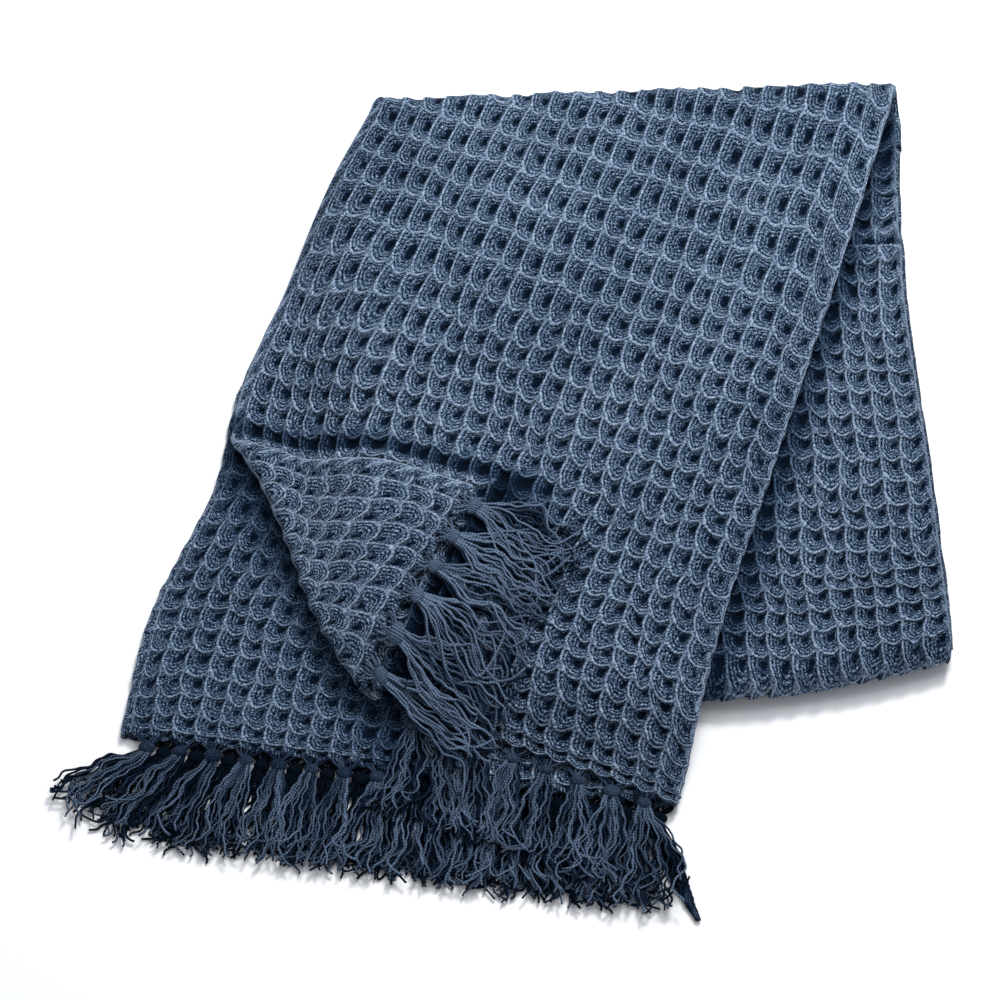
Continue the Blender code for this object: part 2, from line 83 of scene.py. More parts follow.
SIDE_FOLD_RADIUS = LAYER_PITCH / 2
SIDE_FOLD_ARC = math.pi * SIDE_FOLD_RADIUS
STRIP_WIDTH = (CLOTH_WIDTH - 2 * SIDE_FOLD_ARC) / 3
STRIP_LEVEL = LAYER_PITCH + SHEET_THICKNESS / 2     # middle layer over what the strip lies on
STACK_HEIGHT = 6 * LAYER_PITCH                      # what the front flap lies on
PLAN_CENTRE = (0.0093, 0.0167)  # the middle of the throw's box, in the plan of the tables below

# --- the folded strip
# The flaps are ruled surfaces between a left and a right rail on the ground plan.
# share: how far along the flap; x, y: the rail's place there.
FRONT_LEFT_RAIL = (
    # share    x       y
    (0.00, -0.272, -0.205),
    (0.18, -0.257, -0.108),
    (0.40, -0.212, 0.012),
    (0.54, -0.200, 0.090),
    (0.76, -0.154, 0.220),
    (1.00, -0.105, 0.337),
)
FRONT_RIGHT_RAIL = (
    (0.00, 0.122, -0.262),
    (0.18, 0.152, -0.146),
    (0.42, 0.202, 0.008),
    (0.72, 0.262, 0.190),
    (1.00, 0.313, 0.354),
)
BACK_LEFT_RAIL = (
    (0.00, None, None),         # worked out: where the far fold lets the strip go
    (0.35, -0.088, 0.180),
    (0.70, -0.076, 0.020),
    (1.00, -0.062, -0.112),
)
BACK_RIGHT_RAIL = (
    (0.00, None, None),
    (0.35, 0.316, 0.190),
    (0.70, 0.324, 0.020),
    (1.00, 0.330, -0.130),
)
RETURN_LEFT_END = (-0.072, 0.098)
RETURN_RIGHT_END = (0.318, 0.086)

FRONT_LENGTH = {"left": 0.500, "right": 0.590}      # cloth in the front flap along each rail
BACK_LENGTH = {"left": 0.515, "right": 0.455}
FRONT_STRETCH = 0.80            # how open the cells lie at the hem, against the flap's average
TOP_HEM_SETBACK = 0.155         # the top layer's hem stops short of the others' at the left
NEAR_FOLD_BELLY = 0.040         # how far the near fold bows out between its ends
BELLY_SHARE = (0.3, 1.0)        # and the stretch of the back flap that follows it

FAR_FOLD_RADIUS = 3 * LAYER_PITCH
NEAR_FOLD_RADIUS = 1.5 * LAYER_PITCH
FRONT_LEAN = 0.39               # the front flap's slant across the far fold, as a tangent
BACK_LEAN = 0.04

DROP_START = 0.005              # where the front flap starts to fall off the stack under it
DROP_END = 0.096
ROLL_SHARE = (0.80, 1.00)       # the stretch of the front flap that the far fold holds up
RAMP_SHARE = (0.12, 0.33)       # where the back flap climbs onto the short return flap
PLEATS = (
    # share   height  half length
    (0.185, 0.0060, 0.030),
    (0.300, 0.0050, 0.028),
)
PLEAT_EDGE = (0.55, 0.90)       # pleats grow towards the right rail

# The turned corner: the crease runs from the selvedge to the hem of the top layer.
CREASE_ON_HEM = 0.190           # distance from the corner along the hem
CREASE_ON_SELVEDGE = 0.215      # and along the selvedge
CORNER_TIP = (0.222, 0.205)     # where the corner comes to lie on the top layer, across and along
CREASE_RADIUS = 0.0058
CORNER_CLEARANCE = 1.35 * LAYER_PITCH
CREASE_FADE = 0.040             # the crease stands up, and the corner settles over this length

PLACE_STEP = 0.001              # steps along the cloth that show which way it runs: for its place,
COURSE_STEP = 0.0012            # for the cells on its faces
FRINGE_STEP = 0.002             # and for the fringe

# --- fringe
FRINGE_GAP = 0.0005             # between the hem and the knot strip
TASSEL_SWAY = math.radians(3.5)
CORNER_REST = 0.0022            # the corner's tassels over the cloth that they lie on
CORNER_BED = 0.0036             # the top layer's cells stand this far over its middle
SELVEDGE_ROOM = 0.004           # hem left without knots: at a selvedge, a side fold and the crease
FOLD_ROOM = 0.007
CREASE_ROOM = 0.026
SPREAD_AT_LEFT = math.radians(50)       # the end tassels fan out to the sides
SPREAD_AT_RIGHT = math.radians(18)
SPREAD_FADE = 0.055
CORNER_SPREAD = (math.radians(-4), math.radians(30))    # the corner's tassels, tip to crease


# --- curves and steps
def smoothstep(low, high, value):
    """0 below low, 1 above high, and 6t^5 - 15t^4 + 10t^3 between, level at both ends."""
    t = np.clip((value - low) / (high - low), 0.0, 1.0)
    return t ** 3 * (t * (t * 6 - 15) + 10)


def along(rail, share):
    """Read a rail at each share: cubic Hermite pieces with the slopes of its neighbours."""
    table = np.array(rail, dtype=float)
    knots, places = table[:, 0], table[:, 1:]
    slopes = np.gradient(places, knots, axis=0)
    share = np.asarray(share, dtype=float)
    i = np.clip(np.searchsorted(knots, share, side="right") - 1, 0, len(knots) - 2)
    span = knots[i + 1] - knots[i]
    t = (share - knots[i]) / span
    t, span = t[..., None], span[..., None]
    return ((2 * t ** 3 - 3 * t ** 2 + 1) * places[i]
            + (t ** 3 - 2 * t ** 2 + t) * span * slopes[i]
            + (3 * t ** 2 - 2 * t ** 3) * places[i + 1]
            + (t ** 3 - t ** 2) * span * slopes[i + 1])


def ruled(left, right, across):
    """The straight line from left to right, read at the share across."""
    across = np.asarray(across)[..., None]
    return left + (right - left) * across


def unit(vector):
    return vector / np.linalg.norm(vector, axis=-1, keepdims=True)


def between(rise, fall, value):
    """0 before the pair rise, 1 from there to the pair fall and 0 past it, eased over each."""
    return smoothstep(*rise, value) * (1 - smoothstep(*fall, value))


def read(table, at, column=1):
    """A column of a table at places in its first column, on straight lines between its rows."""
    table = np.array(table)
    return np.interp(at, table[:, 0], table[:, column])


def at_height(plan, height):
    """Points of the ground plan raised to a height."""
    return np.concatenate((plan, height[..., None]), axis=-1)


# --- the far and near folds
FAR_FOLD_ENDS = (np.array(FRONT_LEFT_RAIL[-1][1:]), np.array(FRONT_RIGHT_RAIL[-1][1:]))
FAR_FOLD_LINE = unit(FAR_FOLD_ENDS[1] - FAR_FOLD_ENDS[0])
FAR_FOLD_OUT = np.array((-FAR_FOLD_LINE[1], FAR_FOLD_LINE[0]))
FAR_FOLD_ARC = math.pi * FAR_FOLD_RADIUS
NEAR_FOLD_ARC = math.pi * NEAR_FOLD_RADIUS


def far_fold_shift(angle):
    """How far the strip creeps along the far fold: its lean turns from the front flap's to the back's."""
    turned = angle ** 2 / (2 * math.pi)
    return FAR_FOLD_RADIUS * (FRONT_LEAN * (angle - turned) + BACK_LEAN * turned)


def with_start(rail, start):
    return ((0.0, start[0], start[1]),) + rail[1:]


_creep = FAR_FOLD_LINE * far_fold_shift(math.pi)
BACK_LEFT = with_start(BACK_LEFT_RAIL, FAR_FOLD_ENDS[0] + _creep)
BACK_RIGHT = with_start(BACK_RIGHT_RAIL, FAR_FOLD_ENDS[1] + _creep)
NEAR_FOLD_ENDS = (np.array(BACK_LEFT[-1][1:]), np.array(BACK_RIGHT[-1][1:]))
NEAR_FOLD_LINE = unit(NEAR_FOLD_ENDS[1] - NEAR_FOLD_ENDS[0])
NEAR_FOLD_OUT = np.array((NEAR_FOLD_LINE[1], -NEAR_FOLD_LINE[0]))


def bow(across):
    """How far the near fold bows out: half a sine wave from end to end."""
    return NEAR_FOLD_BELLY * np.sin(math.pi * np.clip(across, 0.0, 1.0))


def belly(across):
    """The same as a shift on the ground plan."""
    return bow(across)[..., None] * NEAR_FOLD_OUT


def stack_under(plan):
    """Height of what the front flap lies on: the stack, falling to the surface past its edges."""
    left_line = unit(np.array(BACK_LEFT[-1][1:]) - np.array(BACK_LEFT[0][1:]))
    left_out = np.array((left_line[1], -left_line[0]))
    past_left = (plan - np.array(BACK_LEFT[-1][1:])) @ left_out
    from_corner = plan - NEAR_FOLD_ENDS[0]
    across = (from_corner @ NEAR_FOLD_LINE) / np.linalg.norm(NEAR_FOLD_ENDS[1] - NEAR_FOLD_ENDS[0])
    past_front = from_corner @ NEAR_FOLD_OUT - bow(across)
    past = np.hypot(np.maximum(past_left, 0.0), np.maximum(past_front, 0.0))
    return STACK_HEIGHT * (1 - smoothstep(DROP_START, DROP_END, past))


# --- from the flat cloth to its place
def lengths_to(across):
    """Cloth length from the hem to the far fold, and to the near fold, at each share across."""
    front = FRONT_LENGTH["left"] + (FRONT_LENGTH["right"] - FRONT_LENGTH["left"]) * across
    back = BACK_LENGTH["left"] + (BACK_LENGTH["right"] - BACK_LENGTH["left"]) * across
    return front, front + FAR_FOLD_ARC + back


def strip_centre(across, v, setback):
    """The middle layer's place, flap by flap. setback is the share by which a hem stops short."""
    to_far, to_near = lengths_to(across)

    share = v / to_far
    share = FRONT_STRETCH * share + (1 - FRONT_STRETCH) * share * np.abs(share)
    share = setback + (1 - setback) * share
    plan = ruled(along(FRONT_LEFT_RAIL, share), along(FRONT_RIGHT_RAIL, share), across)
    held = smoothstep(*ROLL_SHARE, share)
    under = STACK_HEIGHT - (STACK_HEIGHT - stack_under(plan)) * (1 - held)
    place = at_height(plan, STRIP_LEVEL + under)

    angle = (v - to_far) / FAR_FOLD_RADIUS
    fold_line = ruled(FAR_FOLD_ENDS[0], FAR_FOLD_ENDS[1], across)
    plan = (fold_line + far_fold_shift(angle)[..., None] * FAR_FOLD_LINE
            + FAR_FOLD_RADIUS * np.sin(angle)[..., None] * FAR_FOLD_OUT)
    height = STRIP_LEVEL + STACK_HEIGHT / 2 + FAR_FOLD_RADIUS * np.cos(angle)
    far = at_height(plan, height)

    share = (v - to_far - FAR_FOLD_ARC) / (to_near - to_far - FAR_FOLD_ARC)
    plan = ruled(along(BACK_LEFT, share), along(BACK_RIGHT, share), across)
    plan = plan + belly(across) * smoothstep(*BELLY_SHARE, share)[..., None]
    height = STRIP_LEVEL + 3 * LAYER_PITCH * smoothstep(*RAMP_SHARE, share)
    for pleat_share, pleat_height, half_length in PLEATS:
        reach = half_length / BACK_LENGTH["right"]
        wave = 1 - smoothstep(0.0, reach, np.abs(share - pleat_share))
        height = height + pleat_height * wave * smoothstep(*PLEAT_EDGE, across)
    back = at_height(plan, height)

    angle = (v - to_near) / NEAR_FOLD_RADIUS
    fold_line = ruled(NEAR_FOLD_ENDS[0], NEAR_FOLD_ENDS[1], across) + belly(across)
    plan = fold_line + NEAR_FOLD_RADIUS * np.sin(angle)[..., None] * NEAR_FOLD_OUT
    height = STRIP_LEVEL + 1.5 * LAYER_PITCH + NEAR_FOLD_RADIUS * np.cos(angle)
    near = at_height(plan, height)

    share = (v - to_near - NEAR_FOLD_ARC) / (CLOTH_LENGTH - to_near - NEAR_FOLD_ARC)
    end_line = ruled(np.array(RETURN_LEFT_END), np.array(RETURN_RIGHT_END), across)
    plan = fold_line + (end_line - fold_line) * share[..., None]
    home = at_height(plan, np.full_like(share, STRIP_LEVEL))

    for start, piece in ((to_far, far), (to_far + FAR_FOLD_ARC, back),
                         (to_near, near), (to_near + NEAR_FOLD_ARC, home)):
        place = np.where((v > start)[..., None], piece, place)
    return place


def corner_share(u, v):
    """1 at the corner's tip, falling evenly to 0 on the crease, and below 0 past it."""
    return 1 - u / CREASE_ON_HEM - v / CREASE_ON_SELVEDGE


def turn_corner(u, v):
    """Lay the corner back: past the crease, cloth goes round it and on to where the tip lies."""
    past = corner_share(u, v)
    past = np.where(u < STRIP_WIDTH, past, -1.0)
    hem, selvedge = CREASE_ON_HEM, CREASE_ON_SELVEDGE
    foot = np.array((hem * selvedge ** 2, selvedge * hem ** 2)) / (hem ** 2 + selvedge ** 2)
    corner_depth = np.linalg.norm(foot)
    run = past * corner_depth
    half_turn = math.pi * CREASE_RADIUS
    angle = np.clip(run / CREASE_RADIUS, 0.0, math.pi)
    laid = np.maximum(run - half_turn, 0.0)
    outward = -foot / corner_depth
    on_crease = np.stack((u, v), axis=-1) + past[..., None] * foot
    to_tip = (np.array(CORNER_TIP) - foot) / corner_depth
    turned = (on_crease + CREASE_RADIUS * np.sin(angle)[..., None] * outward
              + laid[..., None] * to_tip)
    settle = (2 * CREASE_RADIUS - CORNER_CLEARANCE) * (1 - np.exp(-laid / CREASE_FADE))
    lift = CREASE_RADIUS * (1 - np.cos(angle)) - settle
    laid_back = ((turned[..., 0], u), (turned[..., 1], v), (lift, 0.0))
    return [np.where(past > 0, there, flat) for there, flat in laid_back]


def fold_in_thirds(u):
    """The Z fold: u goes to a place across the strip and a height over its middle layer."""
    r, width, arc = SIDE_FOLD_RADIUS, STRIP_WIDTH, SIDE_FOLD_ARC
    first = (u - width) / r
    second = (u - 2 * width - arc) / r
    across = u + 0.0
    height = np.full_like(across, LAYER_PITCH)
    across = np.where(u > width, width + r * np.sin(first), across)
    height = np.where(u > width, r + r * np.cos(first), height)
    across = np.where(u > width + arc, 2 * width + arc - u, across)
    height = np.where(u > width + arc, 0.0, height)
    across = np.where(u > 2 * width + arc, -r * np.sin(second), across)
    height = np.where(u > 2 * width + arc, r * np.cos(second) - r, height)
    across = np.where(u > 2 * width + 2 * arc, u - 2 * width - 2 * arc, across)
    height = np.where(u > 2 * width + 2 * arc, -LAYER_PITCH, height)
    return across / width, height


def cloth_place(u, v):
    """The cloth's mid surface: where the point u across and v along the flat cloth comes to lie."""
    u, v = np.broadcast_arrays(np.asarray(u, float), np.asarray(v, float))
    laid_u, laid_v, lift = turn_corner(u, v)
    across, height = fold_in_thirds(laid_u)
    setback = TOP_HEM_SETBACK * np.clip(1 - laid_u / STRIP_WIDTH, 0.0, 1.0)
    centre = strip_centre(across, laid_v, setback)
    to_right, to_back = (strip_centre(across + side, laid_v + onward, setback)
                         - strip_centre(across - side, laid_v - onward, setback)
                         for side, onward in ((PLACE_STEP / STRIP_WIDTH, 0.0), (0.0, PLACE_STEP)))
    up = unit(np.cross(to_right, to_back))
    return centre + (height + lift)[..., None] * up


def course(u, v, side, onward):
    """Which way the cloth runs at u, v, from one step back to one step on."""
    return unit(cloth_place(u + side, v + onward) - cloth_place(u - side, v - onward))


# --- meshes
def put_in_mesh(name, points, quads, corner_uv=None, values=None, caps=None):
    """An object at the origin from points in the plan of the tables, and faces of four corners.
    corner_uv: a UV for each corner of each quad, in order. values: point attributes by name.
    caps: faces of more corners, added after the quads, all of one size."""
    points = points - np.array((*PLAN_CENTRE, 0.0))
    corners = quads.ravel()
    starts = np.arange(len(quads)) * 4
    if caps is not None:
        starts = np.concatenate((starts, len(corners) + np.arange(len(caps)) * caps.shape[1]))
        corners = np.concatenate((corners, caps.ravel()))
    mesh = bpy.data.meshes.new(name)
    mesh.vertices.add(len(points))
    mesh.vertices.foreach_set("co", points.astype(np.float32).ravel())
    mesh.loops.add(len(corners))
    mesh.loops.foreach_set("vertex_index", corners.astype(np.int32))
    mesh.polygons.add(len(starts))
    mesh.polygons.foreach_set("loop_start", starts.astype(np.int32))
    mesh.polygons.foreach_set("use_smooth", np.ones(len(starts), dtype=bool))
    if corner_uv is not None:
        layer = mesh.uv_layers.new(name="weave")
        whole = np.zeros((len(corners), 2), dtype=np.float32)
        whole[:len(corner_uv)] = corner_uv
        layer.uv.foreach_set("vector", whole.ravel())
    for key, value in (values or {}).items():
        attribute = mesh.attributes.new(key, "FLOAT", "POINT")
        attribute.data.foreach_set("value", value.astype(np.float32))
    mesh.update(calc_edges=True)
    mesh.validate()
    thing = bpy.data.objects.new(name, mesh)
    bpy.context.scene.collection.objects.link(thing)
    return thing


# --- the waffle cells
CELLS_ACROSS = 74
CELLS_ALONG = 66
CELL_WIDTH = CLOTH_WIDTH / CELLS_ACROSS
CELL_STEPS = 7                  # quads along a cell that shows: ridges and pits lie on their lines
BAND_CELLS = 4 / CELL_STEPS     # the selvedge's plain rolled band, in cells
FAR_BAND = 3.0                  # how much narrower the band at the other selvedge is
BAND_FADE = (0.75, 1.1)         # where the band gives way to cells, as shares of its width
BAND_ROLL = (0.12, 0.88)        # the part of a half turn that its roll starts at and goes on for
BAND_FOOT = 0.0008              # its height at the very edge
BAND_UNDER = 0.0010             # how much lower than a ridge it rolls
RIM = 0.3                       # the share of it that is the very edge
HEM_CELLS = 1 / CELL_STEPS      # the plain rows at a hem
HEM_FADE = (0.6, 1.5)           # where they give way to cells, as shares of their width
HEM_SHARE = 0.45                # and their height against a ridge's
HEM_SCALLOP = 0.0042            # how far a hem draws in where the ridges along the cloth end
SCALLOP_CHANGE = 0.2            # and the share of that which differs from ridge to ridge
FOLD_PULL = 0.50                # how far a side fold pulls its cells towards the front, in cells
FOLD_REACH = 0.017              # and how far from the fold
FOLD_LOOK_REACH = 0.014         # how far from a side fold its cells are flatter
REVERSE_CELLS = 4 / CELL_STEPS  # how far the reverse face's cells lie off the front face's
PIT_UP = 3 / CELL_STEPS         # how far a pit lies off the middle, in half cells
PIT_RIGHT = 2 / CELL_STEPS
LOOK_SEED = 20
REVERSE_SEED = 40               # added for the reverse face
HEM_SEED = 90
SQUARE_AT_PIT = 2.6             # how square a yarn lies round the pit: 2 is a circle
SQUARE_AT_RIDGE = 6.0
WALL_CURVE = (0.35, 0.65)       # a cell's rise from pit to ridge: the straight and squared parts
CREST_WIDTH = 0.16              # how wide a ridge's crest is, in half cells
RIDGE = 0.0048                  # a usual ridge's height over the cloth's middle
DEPTH = 0.0046                  # and a usual pit's depth below it
SAG = 0.27                      # how far a ridge hangs between two crossings, in cells
SAG_CHANGE = 0.75               # and how much that changes from cell to cell
WANDER = (0.15, 0.14)           # how far yarns wander across and along the cloth, in cells
OVERHANG = 0.0020               # how far a ridge leans over the cell that it hangs towards
SIDE_LEAN = 0.6                 # and the share of that to its side
SADDLE = 0.0013                 # how much lower a ridge is between two crossings
UNEVEN = 0.0003                 # how much heights differ from yarn to yarn
FREE_FROM_EDGE = (0.3, 2.0)     # where yarns start to hang and wander, in cells from a selvedge
FREE_FROM_HEM = (0.2, 1.6)      # and from a hem
THINNEST = 0.0004               # either face's least height over the cloth's middle
FLOOR_GAP = 0.0002              # the lowest cloth lies flat at this height

CREASE_SPAN = 1 / math.hypot(1 / CREASE_ON_HEM, 1 / CREASE_ON_SELVEDGE)     # tip to crease
CREST_AT = 0.078                # where the crease's outline shows, as a share of that
SIDE_CREST_AT = 0.36            # where a side fold's outline shows, as a share of its arc
CREST_FADE = 0.01               # how far from an outline the finish still knows of it

PLEAT_LAP = 0.0030              # how far a pleat of the back flap laps up over the cloth behind it
PLEAT_STEP = 0.0015             # within so much of the cloth
PLEAT_FADE = 0.012

# The shade beside the turned corner, by the distance past its edge: where it comes on, and
# where it goes off.
SHADES = {
    "tassels":  ((-0.010, 0.0), (0.014, 0.070)),
    "knots":    ((-0.006, 0.0), (0.010, 0.020)),
    "selvedge": ((-0.006, 0.0), (0.004, 0.020)),
    "crease":   ((-0.012, -0.004), (0.0, 0.05)),
}
CREASE_SHADE_DROP = 0.8         # how much of the crease's shade goes off
FLAP_SHADE = (0.004, 0.036)     # where the front flap's shade on the back flap goes off
PLEAT_SHADE = (0.003, 0.0035)   # how far behind a pleat's edge its shade lies, and how wide
TIP_FADE = (0.01, 0.02)         # how the corner's shade ends past its tip, across and along

# How far the cells are pulled open along the cloth, and how far their rows slant, by v.
CELL_OPENING = (
    # v       size against the mean    rows' slant
    (0.00, 0.80, 0.00),
    (0.10, 0.85, -0.06),
    (0.20, 0.94, -0.04),
    (0.30, 1.06, -0.06),
    (0.42, 1.30, -0.16),
    (0.52, 1.36, -0.12),
    (0.60, 1.15, 0.00),
    (0.68, 0.86, 0.14),
    (0.80, 0.84, 0.28),
    (0.98, 0.86, 0.28),
    (1.15, 1.02, 0.00),
    (1.35, 1.04, 0.00),
)

# Where one look of the cells changes into the next: along the front flap, in metres, and past
# the corner's crease, as a share of the way to its tip.
FAR_LOOK = (0.26, 0.44)
FLAT_LOOK = (-0.06, 0.02)
CREASE_LOOK = (-0.08, -0.02)
CORNER_LOOK = (0.03, 0.11)

# How each face's cells lie: the way the ridges hang and the way from a pit to the near ridge, as
# directions across and along the cloth, the height of the ridges, the depth of the pits and how
# much that changes from cell to cell.
FACES = {
    # name     hang u, v    right u, v   ridge   pit     change
    "front":  (-0.35, -1.0,  1.0,  0.0,  0.0054, 0.0048, 0.20),
    "far":    (-0.15, -0.42, 1.0,  0.0,  0.0054, 0.0047, 0.25),
    "corner": (-0.50, -0.90, 0.6,  0.0,  0.0046, 0.0034, 0.25),
    "left":   (0.35, -1.0,  -1.0,  0.0,  0.0044, 0.0038, 0.25),
    "crease": (-0.2, -0.3,   0.3,  0.0,  0.0026, 0.0018, 0.25),
    "fold":   (0.0, -0.5,    0.4,  0.0,  0.0034, 0.0019, 0.25),
    "back":   (-0.35, 1.0,   1.0,  0.0,  0.0048, 0.0043, 0.20),
    "plain":  (0.0, -1.0,    1.0,  0.0,  0.0018, 0.0013, 0.20),
}


def along_cloth(q):
    """The distance along the cloth, in metres, of q cells from the front hem."""
    places = np.linspace(0.0, CLOTH_LENGTH, 136)
    rows = np.cumsum(1 / read(CELL_OPENING, places))
    rows = (rows - rows[0]) / (rows[-1] - rows[0]) * CELLS_ALONG
    return np.interp(q, rows, places)


def on_cloth(p, q):
    """The flat cloth's u, v of the place p, q in cells, its rows slanting across each third."""
    u, v = p * CLOTH_WIDTH / CELLS_ACROSS, along_cloth(q)
    slant = read(CELL_OPENING, v, 2)
    return u, v + slant * STRIP_WIDTH * (fold_in_thirds(u)[0] - 0.5)


def lattice_noise(p, q, seed, wave):
    """Smooth noise from -1 to 1: seeded values on a square lattice one wave apart, in cells,
    blended across each square by eased bilinear weights."""
    width = int(CELLS_ACROSS / wave) + 4
    length = int(CELLS_ALONG / wave) + 4
    table = np.random.default_rng(seed).uniform(-1.0, 1.0, (width, length))
    x = np.clip(p / wave + 1, 0, width - 1.001)
    y = np.clip(q / wave + 1, 0, length - 1.001)
    i, j = x.astype(int), y.astype(int)
    s, t = x - i, y - j
    s, t = s * s * (3 - 2 * s), t * t * (3 - 2 * t)
    near = table[i, j] * (1 - s) + table[i + 1, j] * s
    far = table[i, j + 1] * (1 - s) + table[i + 1, j + 1] * s
    return near * (1 - t) + far * t


def cell_values(p, q, seed):
    """One seeded value from 0 to 1 for each whole cell."""
    table = np.random.default_rng(seed).uniform(0.0, 1.0, (CELLS_ACROSS + 4, CELLS_ALONG + 4))
    i = np.clip(np.floor(p).astype(int) + 2, 0, CELLS_ACROSS + 3)
    j = np.clip(np.floor(q).astype(int) + 2, 0, CELLS_ALONG + 3)
    return table[i, j]


def on_grid_line(lean):
    """The nearest odd number of grid steps to a pit's place, so that a line runs through it."""
    return (2 * np.round((lean * CELL_STEPS - 1) / 2) + 1) / CELL_STEPS


def hump(cells):
    """The size of a sine: 0 at whole numbers and 1 halfway between."""
    return np.abs(np.sin(math.pi * cells))


def cell_side(share, lean):
    """From -1 at a cell's one ridge to 1 at the next, with 0 moved off the middle by lean."""
    side = 2 * (share - np.floor(share)) - 1
    return np.where(side > lean, (side - lean) / (1 - lean), (side - lean) / (1 + lean))


def mixed_look(one, other, share):
    """The look called one where share is 0, and the other where it is 1. One may be looks."""
    share = share[..., None]
    first = np.array(FACES[one]) if isinstance(one, str) else one
    return first * (1 - share) + np.array(FACES[other]) * share


def hung_place(x, y, free, look, seed):
    """Where the woven place x, y lies on the flat cloth, all in cells: between two crossings a
    ridge hangs by the size of a sine, and every yarn wanders a little. free is 0 at the cloth's
    own edges, where nothing moves, and 1 inside."""
    sag = SAG * (1 + SAG_CHANGE * lattice_noise(x, y, seed + 2, 1.0)) * free
    p = x + WANDER[0] * free * lattice_noise(x, y, seed, 1.3)
    q = y + WANDER[1] * free * lattice_noise(x, y, seed + 1, 1.2)
    return p + sag * look[..., 0] * hump(y), q + sag * look[..., 1] * hump(x)


def weave_relief(x, y, edge, hem, look, seed):
    """One face's relief at the woven place x, y, where whole numbers are ridges, and so many
    cells from the nearest selvedge and hem. A cell falls from its ridges to its pit by the
    rounded square distance (|a|^n + |b|^n)^(1/n). Returns the height, the lean of the ridges
    across and along, the UV whose whole numbers are cells, how deep a point lies from 0 to 1,
    the plain band's share and the share of the very edge."""
    hang_u, hang_v, right_u, right_v, ridge, pit, change = np.moveaxis(look, -1, 0)
    a = cell_side(x, on_grid_line(PIT_RIGHT * right_u - PIT_UP * hang_u))
    b = cell_side(y, on_grid_line(PIT_RIGHT * right_v - PIT_UP * hang_v))
    wall = np.maximum(np.abs(a), np.abs(b))
    square = SQUARE_AT_PIT + (SQUARE_AT_RIDGE - SQUARE_AT_PIT) * wall
    distance = (np.abs(a) ** square + np.abs(b) ** square) ** (1 / square)
    rise = np.clip(WALL_CURVE[0] * distance + WALL_CURVE[1] * distance * distance, 0.0, 1.0)
    drop = pit * (1 + change * (2 * cell_values(x, y, seed + 3) - 1))
    warp_crest, weft_crest = (np.exp(-((1 - np.abs(side)) / CREST_WIDTH) ** 2) for side in (a, b))
    height = ridge - drop * (1 - rise)
    saddle = np.maximum(warp_crest * hump(y), weft_crest * hump(x))
    height = height - SADDLE * saddle * ridge / RIDGE
    height = height + UNEVEN * lattice_noise(x, y, seed + 4, 0.5)
    deep = np.clip((ridge - height) / DEPTH, 0.0, 1.0)

    band = 1 - smoothstep(BAND_FADE[0] * BAND_CELLS, BAND_FADE[1] * BAND_CELLS, edge)
    roll = np.sin(math.pi * np.clip(BAND_ROLL[0] + BAND_ROLL[1] * edge / BAND_CELLS, 0.0, 1.0))
    height = height * (1 - band) + (BAND_FOOT + (ridge - BAND_UNDER) * roll) * band
    hemmed = 1 - smoothstep(HEM_FADE[0] * HEM_CELLS, HEM_FADE[1] * HEM_CELLS, hem)
    height = height * (1 - hemmed) + HEM_SHARE * ridge * hemmed
    height = np.maximum(height, THINNEST)
    plain = np.maximum(band, hemmed)
    lean = OVERHANG * (1 - plain) * np.maximum(warp_crest, weft_crest) * ridge / RIDGE
    leans = np.stack((lean * (hang_u - SIDE_LEAN * right_u), lean * (hang_v - SIDE_LEAN * right_v)),
                     axis=-1)
    uv = np.stack((np.floor(x) + (a + 1) / 2, np.floor(y) + (b + 1) / 2), axis=-1)
    rim = np.clip(1 - edge / (RIM * BAND_CELLS), 0.0, 1.0)
    return height, leans, uv, deep * (1 - plain), band, rim


